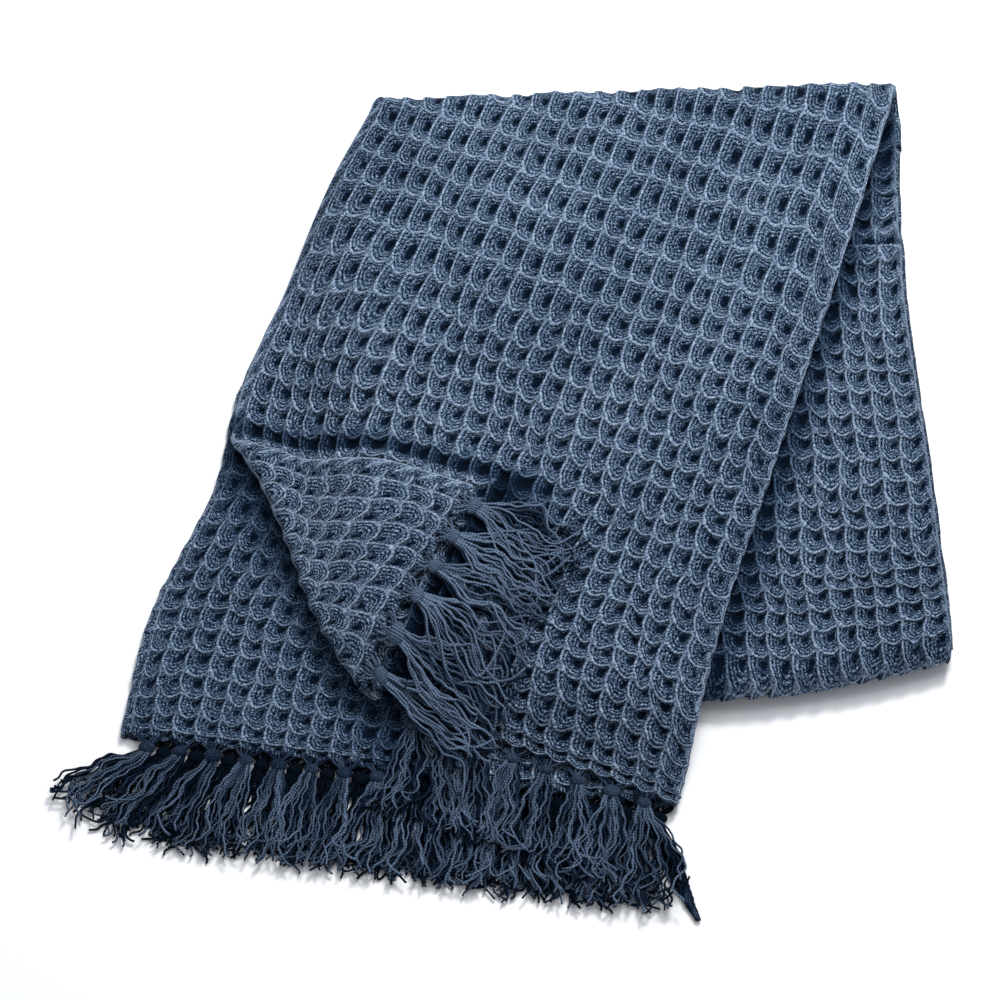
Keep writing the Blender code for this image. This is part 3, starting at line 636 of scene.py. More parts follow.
def cloth_face(p, q, up, shift, look, seed):
    """One face of the cloth from the grid p, q in cells from the first selvedge and the front
    hem: its points and what the finish reads. up is 1 for the front face and -1 for the reverse,
    and shift how many cells its ridges lie off the front face's."""
    edge = np.minimum(p, (CELLS_ACROSS - p) * FAR_BAND)
    hem = np.minimum(q, CELLS_ALONG - q)
    free = smoothstep(*FREE_FROM_EDGE, edge) * smoothstep(*FREE_FROM_HEM, hem)
    x, y = p - BAND_CELLS + shift, q - HEM_CELLS + shift
    hung_p, hung_q = hung_place(x, y, free, look, seed)
    hung_p, hung_q = hung_p + BAND_CELLS - shift, hung_q + HEM_CELLS - shift
    pulled = FOLD_PULL * by_side_fold(hung_p * CLOTH_WIDTH / CELLS_ACROSS, FOLD_REACH) * free
    u, v = on_cloth(hung_p, hung_q - pulled)
    turned = (p < CREASE_ON_HEM / CELL_WIDTH) | (np.abs(p / CELLS_ACROSS - 0.5) < 0.17)
    bulge = hump(p - BAND_CELLS + REVERSE_CELLS * turned)
    bulge = bulge * (1 - SCALLOP_CHANGE + SCALLOP_CHANGE * lattice_noise(p, q * 0, HEM_SEED, 1.0))
    drawn_in = HEM_SCALLOP * (1 - bulge) * (1 - smoothstep(0.0, 0.9, hem))
    v = v + drawn_in * np.sign(CELLS_ALONG / 2 - q)
    across, onward = course(u, v, COURSE_STEP, 0.0), course(u, v, 0.0, COURSE_STEP)
    normal = unit(np.cross(across, onward)) * up
    height, leans, uv, deep, band, rim = weave_relief(x, y, edge, hem, look, seed)
    past_pleat, pleated = from_pleats(u, v)
    if up < 0:
        lap = np.tanh(past_pleat / PLEAT_STEP) * np.exp(-np.abs(past_pleat) / PLEAT_FADE)
        height = np.maximum(height + PLEAT_LAP * pleated * lap, THINNEST)
    points = cloth_place(u, v) + normal * height[:, None]
    points = points + across * leans[:, :1] + onward * leans[:, 1:]
    # The crest value marks a fold's or a pleat's outline, where the finish paints a light line.
    on_pleat = (pleated > 0.2) & (np.abs(past_pleat) < CREST_FADE)
    crest = np.where(on_pleat, past_pleat - PLEAT_STEP, from_crests(u, v))
    # The finish darkens the colour by this painted shade of nearby cloth.
    values = {"deep": deep, "band": band, "rim": rim, "covered": covered(u, v, up),
              "crest": np.clip(crest / CREST_FADE, -2.0, 2.0)}
    return points, uv, values


def cloth_piece(name, inside, fine, looks, seed):
    """A closed piece of the cloth: the cells where inside is true, with fine x fine quads in
    each. looks gives the front and the reverse face's look at u, v. Each face is the middle
    surface moved along its normal by the face's own relief, and a rim joins them at the border."""
    columns = CELLS_ALONG * fine + 1
    quad_inside = np.repeat(np.repeat(inside, fine, axis=0), fine, axis=1)
    i, j = np.nonzero(quad_inside)
    first = i * columns + j
    quads = np.stack((first, first + columns, first + columns + 1, first + 1), axis=1)
    nodes, quads = np.unique(quads, return_inverse=True)
    quads = quads.reshape(-1, 4)
    p, q = (nodes // columns) / fine, (nodes % columns) / fine
    top_look, low_look = looks(*on_cloth(p, q))
    top, top_uv, top_values = cloth_face(p, q, 1, 0.0, top_look, seed)
    low, low_uv, low_values = cloth_face(p, q, -1, REVERSE_CELLS, low_look, seed + REVERSE_SEED)
    points = np.concatenate((top, low))
    points[:, 2] = np.maximum(points[:, 2], FLOOR_GAP)

    edges = np.concatenate([quads[:, (side, (side + 1) % 4)] for side in range(4)])
    keys = edges.min(axis=1) * len(nodes) + edges.max(axis=1)
    _, where, uses = np.unique(keys, return_index=True, return_counts=True)
    border = edges[where[uses == 1]]
    count = len(nodes)
    rim = np.stack((border[:, 1], border[:, 0], border[:, 0] + count, border[:, 1] + count), axis=1)
    faces = np.concatenate((quads, quads[:, ::-1] + count, rim))
    uv = np.concatenate((top_uv, low_uv))[faces.ravel()]
    values = {key: np.concatenate((top_values[key], low_values[key])) for key in top_values}
    return put_in_mesh(name, points, faces, uv, values)


def cloth_regions():
    """Which cells each piece of the cloth holds. The front piece is the top layer with the far
    fold, the back piece the bottom layer's right part with the near fold, the left piece the
    middle layer's left part, and the inner piece all the rest. Borders lie where they are hidden."""
    p, q = on_cloth(np.arange(CELLS_ACROSS)[:, None] + 0.5, np.arange(CELLS_ALONG)[None, :] + 0.5)
    layer_two = STRIP_WIDTH + SIDE_FOLD_ARC
    layer_three = 2 * layer_two
    front = (p < layer_two + 0.022) & (q < 0.69)
    left = (p > layer_two + 0.18) & (p < layer_three + 0.05) & (q < 0.33)
    left = left | ((p > layer_two + 0.022) & (p < layer_three) & (q < 0.11))
    back = (p > layer_three + 0.20) & (q > 0.53)
    near = (p > layer_three - 0.03) & (q > 1.00) & (q < 1.20)
    back = back | near
    inner = ~(front | left | back)
    return {"front": front, "back": back & ~front, "left": left & ~front & ~back, "inner": inner}


def by_side_fold(u, reach):
    """1 on the two side folds of the strip, fading over the reach on both sides."""
    middle = STRIP_WIDTH + SIDE_FOLD_ARC / 2
    nearest = np.minimum(np.abs(u - middle), np.abs(u - middle - STRIP_WIDTH - SIDE_FOLD_ARC))
    return np.exp(-(nearest / reach) ** 2)


def past_crease_line(u, v):
    """The corner's share on the top layer, and well past the crease on the others."""
    return np.where(u < STRIP_WIDTH, corner_share(u, v), -2.0)


def from_crests(u, v):
    """The distance in metres, with a sign, from the nearest fold's outline."""
    side = STRIP_WIDTH + SIDE_CREST_AT * SIDE_FOLD_ARC
    nearest = np.where(u < 1.5 * STRIP_WIDTH, u - side, u - side - STRIP_WIDTH - SIDE_FOLD_ARC)
    crease = (past_crease_line(u, v) - CREST_AT) * CREASE_SPAN
    return np.where(u < 0.5 * STRIP_WIDTH, crease, nearest)


def from_pleats(u, v):
    """The distance along the back flap, in metres and with a sign, from the nearest pleat's edge,
    and how fully the pleat is grown there."""
    across = fold_in_thirds(u)[0]
    to_far, to_near = lengths_to(across)
    share = (v - to_far - FAR_FOLD_ARC) / (to_near - to_far - FAR_FOLD_ARC)
    away = (share[..., None] - np.array(PLEATS)[:, 0]) * BACK_LENGTH["right"]
    nearest = np.abs(away).argmin(axis=-1)[..., None]
    grown = smoothstep(*PLEAT_EDGE, across) * (u > 2 * (STRIP_WIDTH + SIDE_FOLD_ARC))
    return np.take_along_axis(away, nearest, axis=-1)[..., 0], grown


def past_flap(plan):
    """How far a place lies to the right of the front flap's right edge."""
    rail = np.array(FRONT_RIGHT_RAIL)
    return plan[:, 0] - np.interp(plan[:, 1], rail[:, 2], rail[:, 1])


def covered(u, v, up):
    """How much painted shade a place gets from cloth that lies next to it and keeps the light off it,
    from 0 to 1: under the turned corner's two edges and its tassels, beside its crease, beside the
    front flap and behind the back flap's pleats."""
    tip_u, tip_v = CORNER_TIP
    beside = u - (CREASE_ON_HEM + (tip_u - CREASE_ON_HEM) * v / tip_v)
    tassels = between(*SHADES["tassels"], beside) + 0.5 * between(*SHADES["knots"], beside)
    tassels = tassels * (1 - smoothstep(tip_v, tip_v + TIP_FADE[1], v))
    above = v - (CREASE_ON_SELVEDGE + (tip_v - CREASE_ON_SELVEDGE) * u / tip_u)
    past_tip = smoothstep(tip_u, tip_u + TIP_FADE[0], u)
    selvedge = between(*SHADES["selvedge"], above) * (1 - past_tip)
    on_top = np.where((u < STRIP_WIDTH) & (up > 0), np.maximum(tassels, selvedge), 0.0)
    over = 2 * STRIP_WIDTH + SIDE_FOLD_ARC - u
    plan = cloth_place(u, v)[:, :2]
    ends = cloth_place(np.array((0.0, CREASE_ON_HEM)), np.array((CREASE_ON_SELVEDGE, 0.0)))[:, :2]
    ahead, away = unit(ends[1] - ends[0]), plan - ends[0]
    left_of = ahead[1] * away[:, 0] - ahead[0] * away[:, 1]
    comes, goes = (smoothstep(*stretch, left_of) for stretch in SHADES["crease"])
    crease = comes * (1 - CREASE_SHADE_DROP * goes)
    in_middle = (over > -SIDE_FOLD_ARC / 2) & (over < STRIP_WIDTH) & (up < 0)
    flap = 1 - smoothstep(*FLAP_SHADE, past_flap(plan))
    on_back = (over < -SIDE_FOLD_ARC) & (up < 0) & (v > 0.5)
    past_pleat, pleated = from_pleats(u, v)
    behind, width = PLEAT_SHADE
    flap = np.maximum(flap, pleated * np.exp(-((past_pleat + behind) / width) ** 2))
    return np.where(in_middle, crease, np.where(on_back, flap, on_top))


def front_looks(u, v):
    """Deep cells on the flap that shows, and on the reverse only where the corner shows it, with
    straight ridges round the crease."""
    top = mixed_look("front", "far", smoothstep(*FAR_LOOK, v))
    top = mixed_look(top, "plain", smoothstep(*FLAT_LOOK, past_crease_line(u, v)))
    top = mixed_look(top, "fold", by_side_fold(u, FOLD_LOOK_REACH))
    low = mixed_look("plain", "crease", smoothstep(*CREASE_LOOK, past_crease_line(u, v)))
    return top, mixed_look(low, "corner", smoothstep(*CORNER_LOOK, past_crease_line(u, v)))


def back_looks(u, v):
    """The bottom layer shows its reverse on the back flap, right of the front flap's edge."""
    past = past_flap(cloth_place(u, v)[:, :2])
    shown = smoothstep(-0.030, -0.010, past) * smoothstep(0.55, 0.60, v)
    return mixed_look("plain", "plain", shown), mixed_look("plain", "back", shown)


def left_looks(u, v):
    """The middle layer shows its reverse where the top layer's corner is turned back, and past
    the top layer's hem."""
    over = 2 * STRIP_WIDTH + SIDE_FOLD_ARC - u
    uncovered = smoothstep(-0.20, -0.05, corner_share(over, v))
    past_hem = 1 - smoothstep(0.5, 1.0, v / (0.09 * (1.15 - over / STRIP_WIDTH)))
    shown = np.maximum(uncovered, past_hem) * smoothstep(-0.012, 0.0, over + 0.02)
    low = mixed_look("plain", "left", shown)
    return mixed_look("plain", "plain", shown), mixed_look(low, "fold", by_side_fold(u, FOLD_LOOK_REACH))


def inner_looks(u, v):
    """Plain cells on both faces."""
    none = np.zeros_like(u)
    return mixed_look("plain", "plain", none), mixed_look("plain", "plain", none)


# --- yarns
def ring_quads(count, rings, sides):
    """The quads round count bodies, each of so many rings of points, with each quad's body, its
    ring, and the turn round the body at its four corners."""
    k, i, j = np.meshgrid(np.arange(count), np.arange(rings - 1), np.arange(sides), indexing="ij")
    start = (k * rings + i) * sides
    onward = (j + 1) % sides
    quads = (start + j, start + onward, start + sides + onward, start + sides + j)
    turn = np.stack((j, j + 1, j + 1, j), axis=-1) / sides
    return np.stack(quads, axis=-1).reshape(-1, 4), k, i, turn


def tubes(lines, radius, sides):
    """Tubes round many lines at once. lines: (count, points, 3). radius: (count, points). Each
    ring is the point plus radius times cos and sin along two directions square to the line.
    Returns points, quads, the quads' UVs (run along the yarn in metres, turn round it), and the
    end caps."""
    count, length, _ = lines.shape
    forward = unit(np.gradient(lines, axis=1))
    side = unit(np.cross(forward, np.array((0.11, 0.07, 1.0))))
    rise = np.cross(side, forward)
    turn = 2 * math.pi * np.arange(sides) / sides
    ring = (side[:, :, None] * np.cos(turn)[:, None] + rise[:, :, None] * np.sin(turn)[:, None])
    points = lines[:, :, None] + ring * radius[:, :, None, None]
    quads, k, i, round_uv = ring_quads(count, length, sides)
    run = np.cumsum(np.linalg.norm(np.diff(lines, axis=1, prepend=lines[:, :1]), axis=-1), axis=1)
    along_uv = np.stack((run[k, i], run[k, i], run[k, i + 1], run[k, i + 1]), axis=-1)
    uv = np.stack((along_uv, round_uv), axis=-1)
    first = np.arange(count)[:, None] * length * sides
    tail = first + (length - 1) * sides
    caps = np.concatenate((first + np.arange(sides)[::-1], tail + np.arange(sides)))
    return points.reshape(-1, 3), quads, uv.reshape(-1, 2), caps


class YarnBasket:
    """Gathers tubes and knots, and turns them into one object."""

    def __init__(self):
        self.parts, self.total = [], 0

    def add(self, points, quads, uv, tone, caps, wound):
        """tone: one value for each point, from dark 0 to light 1, and below 0 in deep painted shade; it
        holds a yarn's own tone and its painted shade.
        wound: 1 on a knot."""
        self.parts.append((points, quads + self.total, uv, caps + self.total, tone,
                           np.full(len(points), wound)))
        self.total += len(points)

    def yarns(self, lines, radius, tone):
        """Yarns along lines of shape (..., points, 3), with a tone for each point or yarn."""
        tone = np.broadcast_to(tone, lines.shape[:-1])
        lines = lines.reshape(-1, lines.shape[-2], 3)
        radius = np.broadcast_to(radius, lines.shape[:2])
        points, quads, uv, caps = tubes(lines, radius, YARN_SIDES)
        self.add(points, quads, uv, np.repeat(np.ravel(tone), YARN_SIDES), caps, wound=0.0)

    def object(self, name):
        points, quads, uvs, caps, tone, wound = map(np.concatenate, zip(*self.parts))
        return put_in_mesh(name, points, quads, uvs, {"tone": tone, "wound": wound}, caps)


# --- the fringes
YARN_RADIUS = 0.00098
YARN_SIDES = 3
YARNS = 30                      # in a tassel that shows
BUNDLES = 4                     # groups that they fall into
YARN_POINTS = 49
HIDDEN_YARNS = 6                # in a tassel under the stack
HIDDEN_POINTS = 14
CRIMP_LENGTH = 0.0092           # one wave of a yarn that was woven and worked loose
CRIMP_SWING = 0.0009
CRIMP_LIFT = 0.0003
SWEEP_LENGTH = 0.031            # one long wave of a bundle
SWEEP_SWING = 0.0022
LENGTHS = (0.80, 1.05)          # the shortest and longest yarns, against the tassel
CURL_FROM = 0.76                # the share of its length where a yarn's end starts to curl
TWISTED_TURNS = 2.2             # how often the twisted tassel winds round itself
TWISTED_BEND = 0.021            # how far to the right its end lies
END_SPREAD = 0.5                # how much wider the last tassel at the right lies
KNOT_SIZE = (0.0062, 0.0050, 0.0036)    # half sizes: across, along and up
KNOT_REACH = 0.0065             # from the hem to a knot's middle
KNOT_TURNS, KNOT_RINGS = 14, 9
KNOT_RIB = 0.10                 # how far its wound yarns stand out, as a share of its size
KNOT_GRAIN = 0.0016             # the yarn that the finish lays along each ring of quads
GATHERS = 9                     # yarns that run from the hem into a knot
GATHER_SPREAD = 0.46            # how far to either side they start, in knot pitches
LEAST_CURL = 0.05
HABITS = {
    # name    combed  and how much more when tousled
    "lean":  (0.25, 0.20),      # to the side, in half widths
    "drift": (0.24, 0.40),      # a bundle's wandering
    "stray": (0.08, 0.32),      # a yarn's
    "curl":  (0.25, 1.20),      # an end's turn, in radians
    "phase": (0.60, 4.00),      # how far neighbours' crimps are out of step
    "drawn": (0.20, 1.00),      # how much their lengths differ
    "sweep": (0.30, 1.00),      # a bundle's long waves
}
TASSEL_BODY = (
    # share   half width   half thickness
    (0.00, 0.0036, 0.0022),
    (0.10, 0.0056, 0.0026),
    (0.35, 0.0092, 0.0028),
    (0.75, 0.0118, 0.0026),
    (1.00, 0.0132, 0.0022),
)


def hem_point(u, v_hem, outside):
    """A place outside a hem, carried on straight from the cloth's last few millimetres."""
    inward = FRINGE_STEP if v_hem == 0 else -FRINGE_STEP
    edge = cloth_place(u, np.full_like(u, v_hem))
    inner = cloth_place(u, np.full_like(u, v_hem + inward))
    return edge + unit(edge - inner) * outside


def on_bed(bed, plan, height):
    """Places at a height square over a bed, above points of the plan."""
    slopes = [(bed(plan + step) - bed(plan - step)) / (2 * FRINGE_STEP)
              for step in FRINGE_STEP * np.eye(2)]
    up = unit(np.stack((-slopes[0], -slopes[1], np.ones_like(slopes[0])), axis=-1))
    return at_height(plan, bed(plan)) + up * height[..., None]


def laid_path(knots, v_hem, bed, level, turn):
    """How a comb's tassels run: straight from the hem, then swung to the side, lying at a level
    over a bed. The path takes the run from the hem, the shift to the side and the height over
    the level, with one row for each knot, and gives the places."""
    start = hem_point(knots, v_hem, FRINGE_GAP)
    outward = unit((start - hem_point(knots, v_hem, 0.0))[:, :2])
    heading = np.stack((outward[:, 0] * np.cos(turn) - outward[:, 1] * np.sin(turn),
                        outward[:, 0] * np.sin(turn) + outward[:, 1] * np.cos(turn)), axis=1)

    def path(run, shift, height):
        shape = (len(knots),) + (1,) * (run.ndim - 1) + (2,)
        swung = np.clip(run / TASSEL_LENGTH * 3, 0.0, 1.0)[..., None]
        direction = unit(outward.reshape(shape) * (1 - swung) + heading.reshape(shape) * swung)
        square = np.stack((-direction[..., 1], direction[..., 0]), axis=-1)
        plan = start[:, :2].reshape(shape) + direction * run[..., None] + square * shift[..., None]
        return on_bed(bed, plan, level + height)

    return path


def corner_path(knots, turn):
    """The turned corner's tassels: they go on over the top layer as the corner's cloth would,
    and settle onto it."""
    def path(run, shift, height):
        shape = (len(knots),) + (1,) * (run.ndim - 1)
        u = knots.reshape(shape) + run * np.tan(turn).reshape(shape) + shift
        middle = cloth_place(u, -run)
        onward = middle - cloth_place(u, -run + FRINGE_STEP)
        up = unit(np.cross(course(u, -run, FRINGE_STEP, 0.0), onward))
        up = up * np.sign(up[..., 2:3])
        settled = np.clip(run / TASSEL_LENGTH * 1.5, 0.0, 1.0)
        sink = (CORNER_CLEARANCE - CORNER_REST - CORNER_BED) * settled
        return middle + up * (height - sink)[..., None]

    return path


def wandering(rng, shape, points, waves):
    """Smooth random walks from -1 to 1 along each yarn: sines with 1 to waves turns."""
    share = np.linspace(0.0, 1.0, points)
    total = np.zeros(shape + (points,))
    for wave in range(1, waves + 1):
        phase = rng.uniform(0, 2 * math.pi, shape)[..., None]
        size = rng.uniform(0.4, 1.0, shape)[..., None] / wave
        total += size * np.sin(2 * math.pi * wave * share + phase)
    return total / 1.6


def tassel_lines(count, yarns, points, rng, wild, reach, wide, crimp, twisted=None):
    """The yarns of a comb's tassels, from inside the knot to their ends, as the run from the
    hem, the shift across, the height and the place in the pile from -1 to 1. Each keeps its
    place in the tassel's flat oval, swings with its bundle, has the weave's crimp as sine waves
    and curls at its end. wild is 0 for combed tassels and 1 for tousled ones. The twisted
    tassel's yarns wind round its middle line to a point."""
    habit = {key: combed + more * wild for key, (combed, more) in HABITS.items()}
    shape, shared = (count, yarns), (count, BUNDLES)
    share = np.linspace(0.0, 1.0, points)
    length = (TASSEL_LENGTH * reach - KNOT_REACH) * rng.uniform(*LENGTHS, shape)[..., None]
    half_width, half_thick = read(TASSEL_BODY, share), read(TASSEL_BODY, share, 2)
    wide = np.broadcast_to(wide, (count, 1, 1))
    half_width = half_width * (1 + (wide - 1) * smoothstep(0.06, 0.42, share))
    half_width = half_width * (1 + 0.28 * wild * np.sin(math.pi * share))
    bundle = np.arange(yarns) * BUNDLES // yarns
    lay = (np.arange(yarns) + 0.5) / yarns * 2 - 1 + rng.uniform(-0.09, 0.09, shape)
    level = rng.uniform(-1.0, 1.0, shape)
    lean = rng.normal(0.0, habit["lean"], (count, 1, 1)) * share
    drift = wandering(rng, shared, points, 2)[:, bundle] * share * habit["drift"]
    stray = wandering(rng, shape, points, 3) * share * habit["stray"]
    across = (lay[..., None] + lean + drift + stray) * half_width
    stacked = np.clip(level[..., None] + wandering(rng, shape, points, 2) * 0.6, -1, 1)

    curl = np.abs(rng.normal(0.0, habit["curl"], shape)) + LEAST_CURL
    turn = rng.choice((-1.0, 1.0), shape)[..., None]
    curled = np.clip((share - CURL_FROM) / (1 - CURL_FROM), 0.0, 1.0) * curl[..., None]
    bend = (1 - CURL_FROM) * length / curl[..., None]
    run = KNOT_REACH + length * np.minimum(share, CURL_FROM) + bend * np.sin(curled)
    across = across + turn * bend * (1 - np.cos(curled))

    phase = rng.uniform(0, 2 * math.pi, (count, 1))
    phase = phase + rng.uniform(-0.5, 0.5, shape) * habit["phase"]
    drawn = rng.uniform(-0.12, 0.12, shape) * habit["drawn"]
    pitch = CRIMP_LENGTH * rng.uniform(0.92, 1.12, (count, 1)) * (1 + drawn)
    pitch = pitch * (1.5 - 0.5 * crimp)
    wave = 2 * math.pi * share * length / pitch[..., None] + phase[..., None]
    sweep = 2 * math.pi * share * length / SWEEP_LENGTH
    sweep = sweep + rng.uniform(0, 2 * math.pi, shared)[:, bundle, None]
    grown = np.clip(share * 5, 0.0, 1.0)
    swing = CRIMP_SWING * crimp * rng.uniform(0.7, 1.3, shape)[..., None] * grown
    swung = swing * np.sin(wave) + SWEEP_SWING * habit["sweep"] * share * np.sin(sweep)
    if twisted is not None:
        turns = 2 * math.pi * (TWISTED_TURNS * share + np.arange(yarns)[:, None] / yarns)
        taper = half_width[twisted] * (1 - 0.93 * share) * 0.75
        across[twisted] = np.cos(turns) * taper + TWISTED_BEND * share ** 1.5
        stacked[twisted] = np.sin(turns) * (1 - 0.5 * share)
        run[twisted] = KNOT_REACH + TASSEL_LENGTH * 0.97 * share
        swung[twisted] *= 0.2
    middle = half_thick + YARN_RADIUS * 0.3
    height = middle + stacked * (half_thick - YARN_RADIUS * 0.7)
    height = height + CRIMP_LIFT * grown * np.sin(wave * 0.5)
    return run, across + swung, np.maximum(height, YARN_RADIUS), stacked


def knot_surface(basket, path, count, tone, rng):
    """Knots: ellipsoids on a grid of turn and height, ribbed by the yarns wound round them."""
    theta = 2 * math.pi * np.arange(KNOT_TURNS) / KNOT_TURNS
    phi = math.pi * np.arange(KNOT_RINGS) / (KNOT_RINGS - 1)
    grid_phi, grid_theta = np.meshgrid(phi, theta, indexing="ij")
    phase = rng.uniform(0, 2 * math.pi, (count, 1, 1))
    size = rng.uniform(0.9, 1.12, (count, 1, 1))
    rib = 1 + KNOT_RIB * np.sin(5 * grid_phi + 2 * grid_theta + phase)
    across = KNOT_SIZE[0] * size * np.cos(grid_phi) * (0.8 + 0.2 * rib)
    onward = KNOT_SIZE[1] * size * np.sin(grid_phi) * np.cos(grid_theta) * rib
    height = KNOT_SIZE[2] * size * (1 + np.sin(grid_phi) * np.sin(grid_theta) * rib)
    points = path(KNOT_REACH + onward, across, height)
    quads, _, i, turn = ring_quads(count, KNOT_RINGS, KNOT_TURNS)
    grain = np.stack((np.stack((i, i, i + 1, i + 1), axis=-1) * KNOT_GRAIN, turn), axis=-1)
    basket.add(points.reshape(-1, 3), quads, grain.reshape(-1, 2),
               np.full(points.size // 3, tone), np.zeros((0, YARN_SIDES), int), wound=1.0)


def gathers(path, count, rng):
    """The yarns between hem and knot: they leave the hem spread out and close into the knot."""
    share = np.linspace(0.0, 1.0, GATHERS)
    spread = ((np.arange(GATHERS) + 0.5) / GATHERS * 2 - 1) * KNOT_PITCH * GATHER_SPREAD
    spread = spread + rng.uniform(-0.0012, 0.0012, (count, GATHERS))
    close = 1 - smoothstep(0.0, 1.0, share)
    across = spread[..., None] * (0.22 + 0.78 * close)
    across = across + 0.0006 * np.sin(2 * math.pi * share + rng.uniform(0, 6, (count, GATHERS, 1)))
    start = rng.uniform(-0.0065, -0.0025, (count, GATHERS, 1))
    run = start + (KNOT_REACH - start) * share
    height = rng.uniform(0.0026, 0.0036, (count, GATHERS, 1)) + 0.0008 * np.sin(math.pi * share)
    return path(run, across, height)


def make_comb(name, path, count, seed, shown, wild, reach, wide, crimp, shade, twisted=None):
    """One comb of the fringe: its knots, the yarns into them and the tassels out of them."""
    rng = np.random.default_rng(seed)
    yarns, points = (YARNS, YARN_POINTS) if shown else (HIDDEN_YARNS, HIDDEN_POINTS)
    basket = YarnBasket()
    run, across, height, stacked = tassel_lines(count, yarns, points, rng, wild, reach, wide,
                                                crimp, twisted)
    thickness = YARN_RADIUS * (1.0 if shown else 1.5)
    radius = thickness * rng.uniform(0.85, 1.1, (count * yarns, 1))
    # Painted shade in the tone: yarns lower in the pile are darker, and a comb in shade darker still, most
    # near the knots; the random part is each yarn's own tone.
    tone = rng.uniform(0.0, 0.7, (count, yarns, 1)) + 0.8 * stacked - 0.2
    tone = tone - shade * np.linspace(1.6, 0.25, points)
    basket.yarns(path(run, across, height), radius, tone)
    gathered = gathers(path, count, rng)
    # The gathered yarns and the knots take the comb's painted shade too.
    basket.yarns(gathered, YARN_RADIUS, rng.uniform(0.0, 0.6, (count, GATHERS, 1)) - 1.5 * shade)
    knot_surface(basket, path, count, 0.4 - 1.5 * shade, rng)
    return basket.object(name)


def knots_between(start, end):
    """Even knots along a stretch of hem, half a pitch in from its ends."""
    count = int((end - start) / KNOT_PITCH)
    return start + (end - start) * (np.arange(count) + 0.5) / count


def sway(knots):
    """A gentle swing from tassel to tassel."""
    return TASSEL_SWAY * np.sin(knots * 37.0)


def corner_fan(knots):
    """How the turned corner's tassels spread, from the tip to the crease."""
    first, last = CORNER_SPREAD
    return first + (last - first) * knots / CREASE_ON_HEM


def fan(across):
    """How the end tassels of the front hem spread: to the left at the left end, and to the right."""
    return (SPREAD_AT_RIGHT * np.exp((across - STRIP_WIDTH) / SPREAD_FADE)
            - SPREAD_AT_LEFT * np.exp(-across / SPREAD_FADE))


def flat_surface(plan):
    """The surface that the throw lies on."""
    return np.zeros(np.shape(plan)[:-1])


def combs():
    """Each comb's node, path, number of knots, whether it shows, how tousled it is, how long,
    how wide and how crimped it is against the usual tassel, and how much painted shade its yarns
    take, where below 0 paints them lighter."""
    second = STRIP_WIDTH + SIDE_FOLD_ARC
    third = 2 * second
    layers = (
        # name     from             to      pitches up   how tousled   wide   crimp   in shade
        ("top", SELVEDGE_ROOM, STRIP_WIDTH - FOLD_ROOM, 2, 0.75, 1.0, 0.7, 0.10),
        ("middle", second + FOLD_ROOM, second + STRIP_WIDTH - FOLD_ROOM, 1, 0.55, 1.1, 0.6, 0.20),
        ("bottom", third + FOLD_ROOM, third + STRIP_WIDTH - FOLD_ROOM, 0, 0.80, 1.2, 0.9, 1.15),
    )
    knots = knots_between(SELVEDGE_ROOM, CREASE_ON_HEM - CREASE_ROOM)
    path = corner_path(knots, corner_fan(knots))
    # The corner's tassels lie on top: a shade below 0 paints them lighter.
    yield "fringe_corner", path, len(knots), True, 0.9, 1.22, 1.75, 0.55, -0.3
    for layer, start, end, pitches, wild, wide, crimp, shade in layers:
        level = pitches * LAYER_PITCH
        first = start if layer != "top" else CREASE_ON_HEM + CREASE_ROOM / 2
        knots = knots_between(first, end) + (KNOT_PITCH / 2 if layer == "bottom" else 0.0)
        across = fold_in_thirds(knots)[0] * STRIP_WIDTH
        turn = sway(knots) + fan(across)
        if layer == "top":
            wide = wide + END_SPREAD * np.exp((across - across.max()) / KNOT_PITCH)[:, None, None]
        path = laid_path(knots, 0, stack_under, level, turn)
        yield "fringe_front_" + layer, path, len(knots), True, wild, 1.0, wide, crimp, shade
        knots = knots_between(start, end)
        path = laid_path(knots, CLOTH_LENGTH, flat_surface, level, sway(knots))
        yield "fringe_back_" + layer, path, len(knots), False, 0.3, 1.0, 1.0, 1.0, 0.0


# --- finishes
class Wire:
    """A socket's value in a Python expression: each operation adds one Math node."""

    def __init__(self, bench, socket):
        self.bench, self.socket = bench, socket

    def maths(self, operation, *values):
        return self.bench.node("ShaderNodeMath", {"operation": operation}, dict(enumerate(values)))

    def clipped(self):
        return self.bench.node("ShaderNodeClamp", {}, {0: self})

    def eased(self, low, high):
        """0 below low, 1 above high, a smooth step between."""
        return self.bench.node("ShaderNodeMapRange", {"interpolation_type": "SMOOTHSTEP"},
                               {0: self, 1: low, 2: high})


for _name, _operation in (("add", "ADD"), ("sub", "SUBTRACT"), ("mul", "MULTIPLY"), ("truediv", "DIVIDE")):
    setattr(Wire, f"__{_name}__", lambda self, other, kind=_operation: self.maths(kind, self, other))
    setattr(Wire, f"__r{_name}__", lambda self, other, kind=_operation: self.maths(kind, other, self))
for _name, _operation in (("__pow__", "POWER"), ("__gt__", "GREATER_THAN"), ("greater", "MAXIMUM")):
    setattr(Wire, _name, lambda self, other, kind=_operation: self.maths(kind, self, other))
for _name, _operation in (("__abs__", "ABSOLUTE"), ("sin", "SINE"), ("cos", "COSINE"), ("fract", "FRACT")):
    setattr(Wire, _name, lambda self, kind=_operation: self.maths(kind, self))


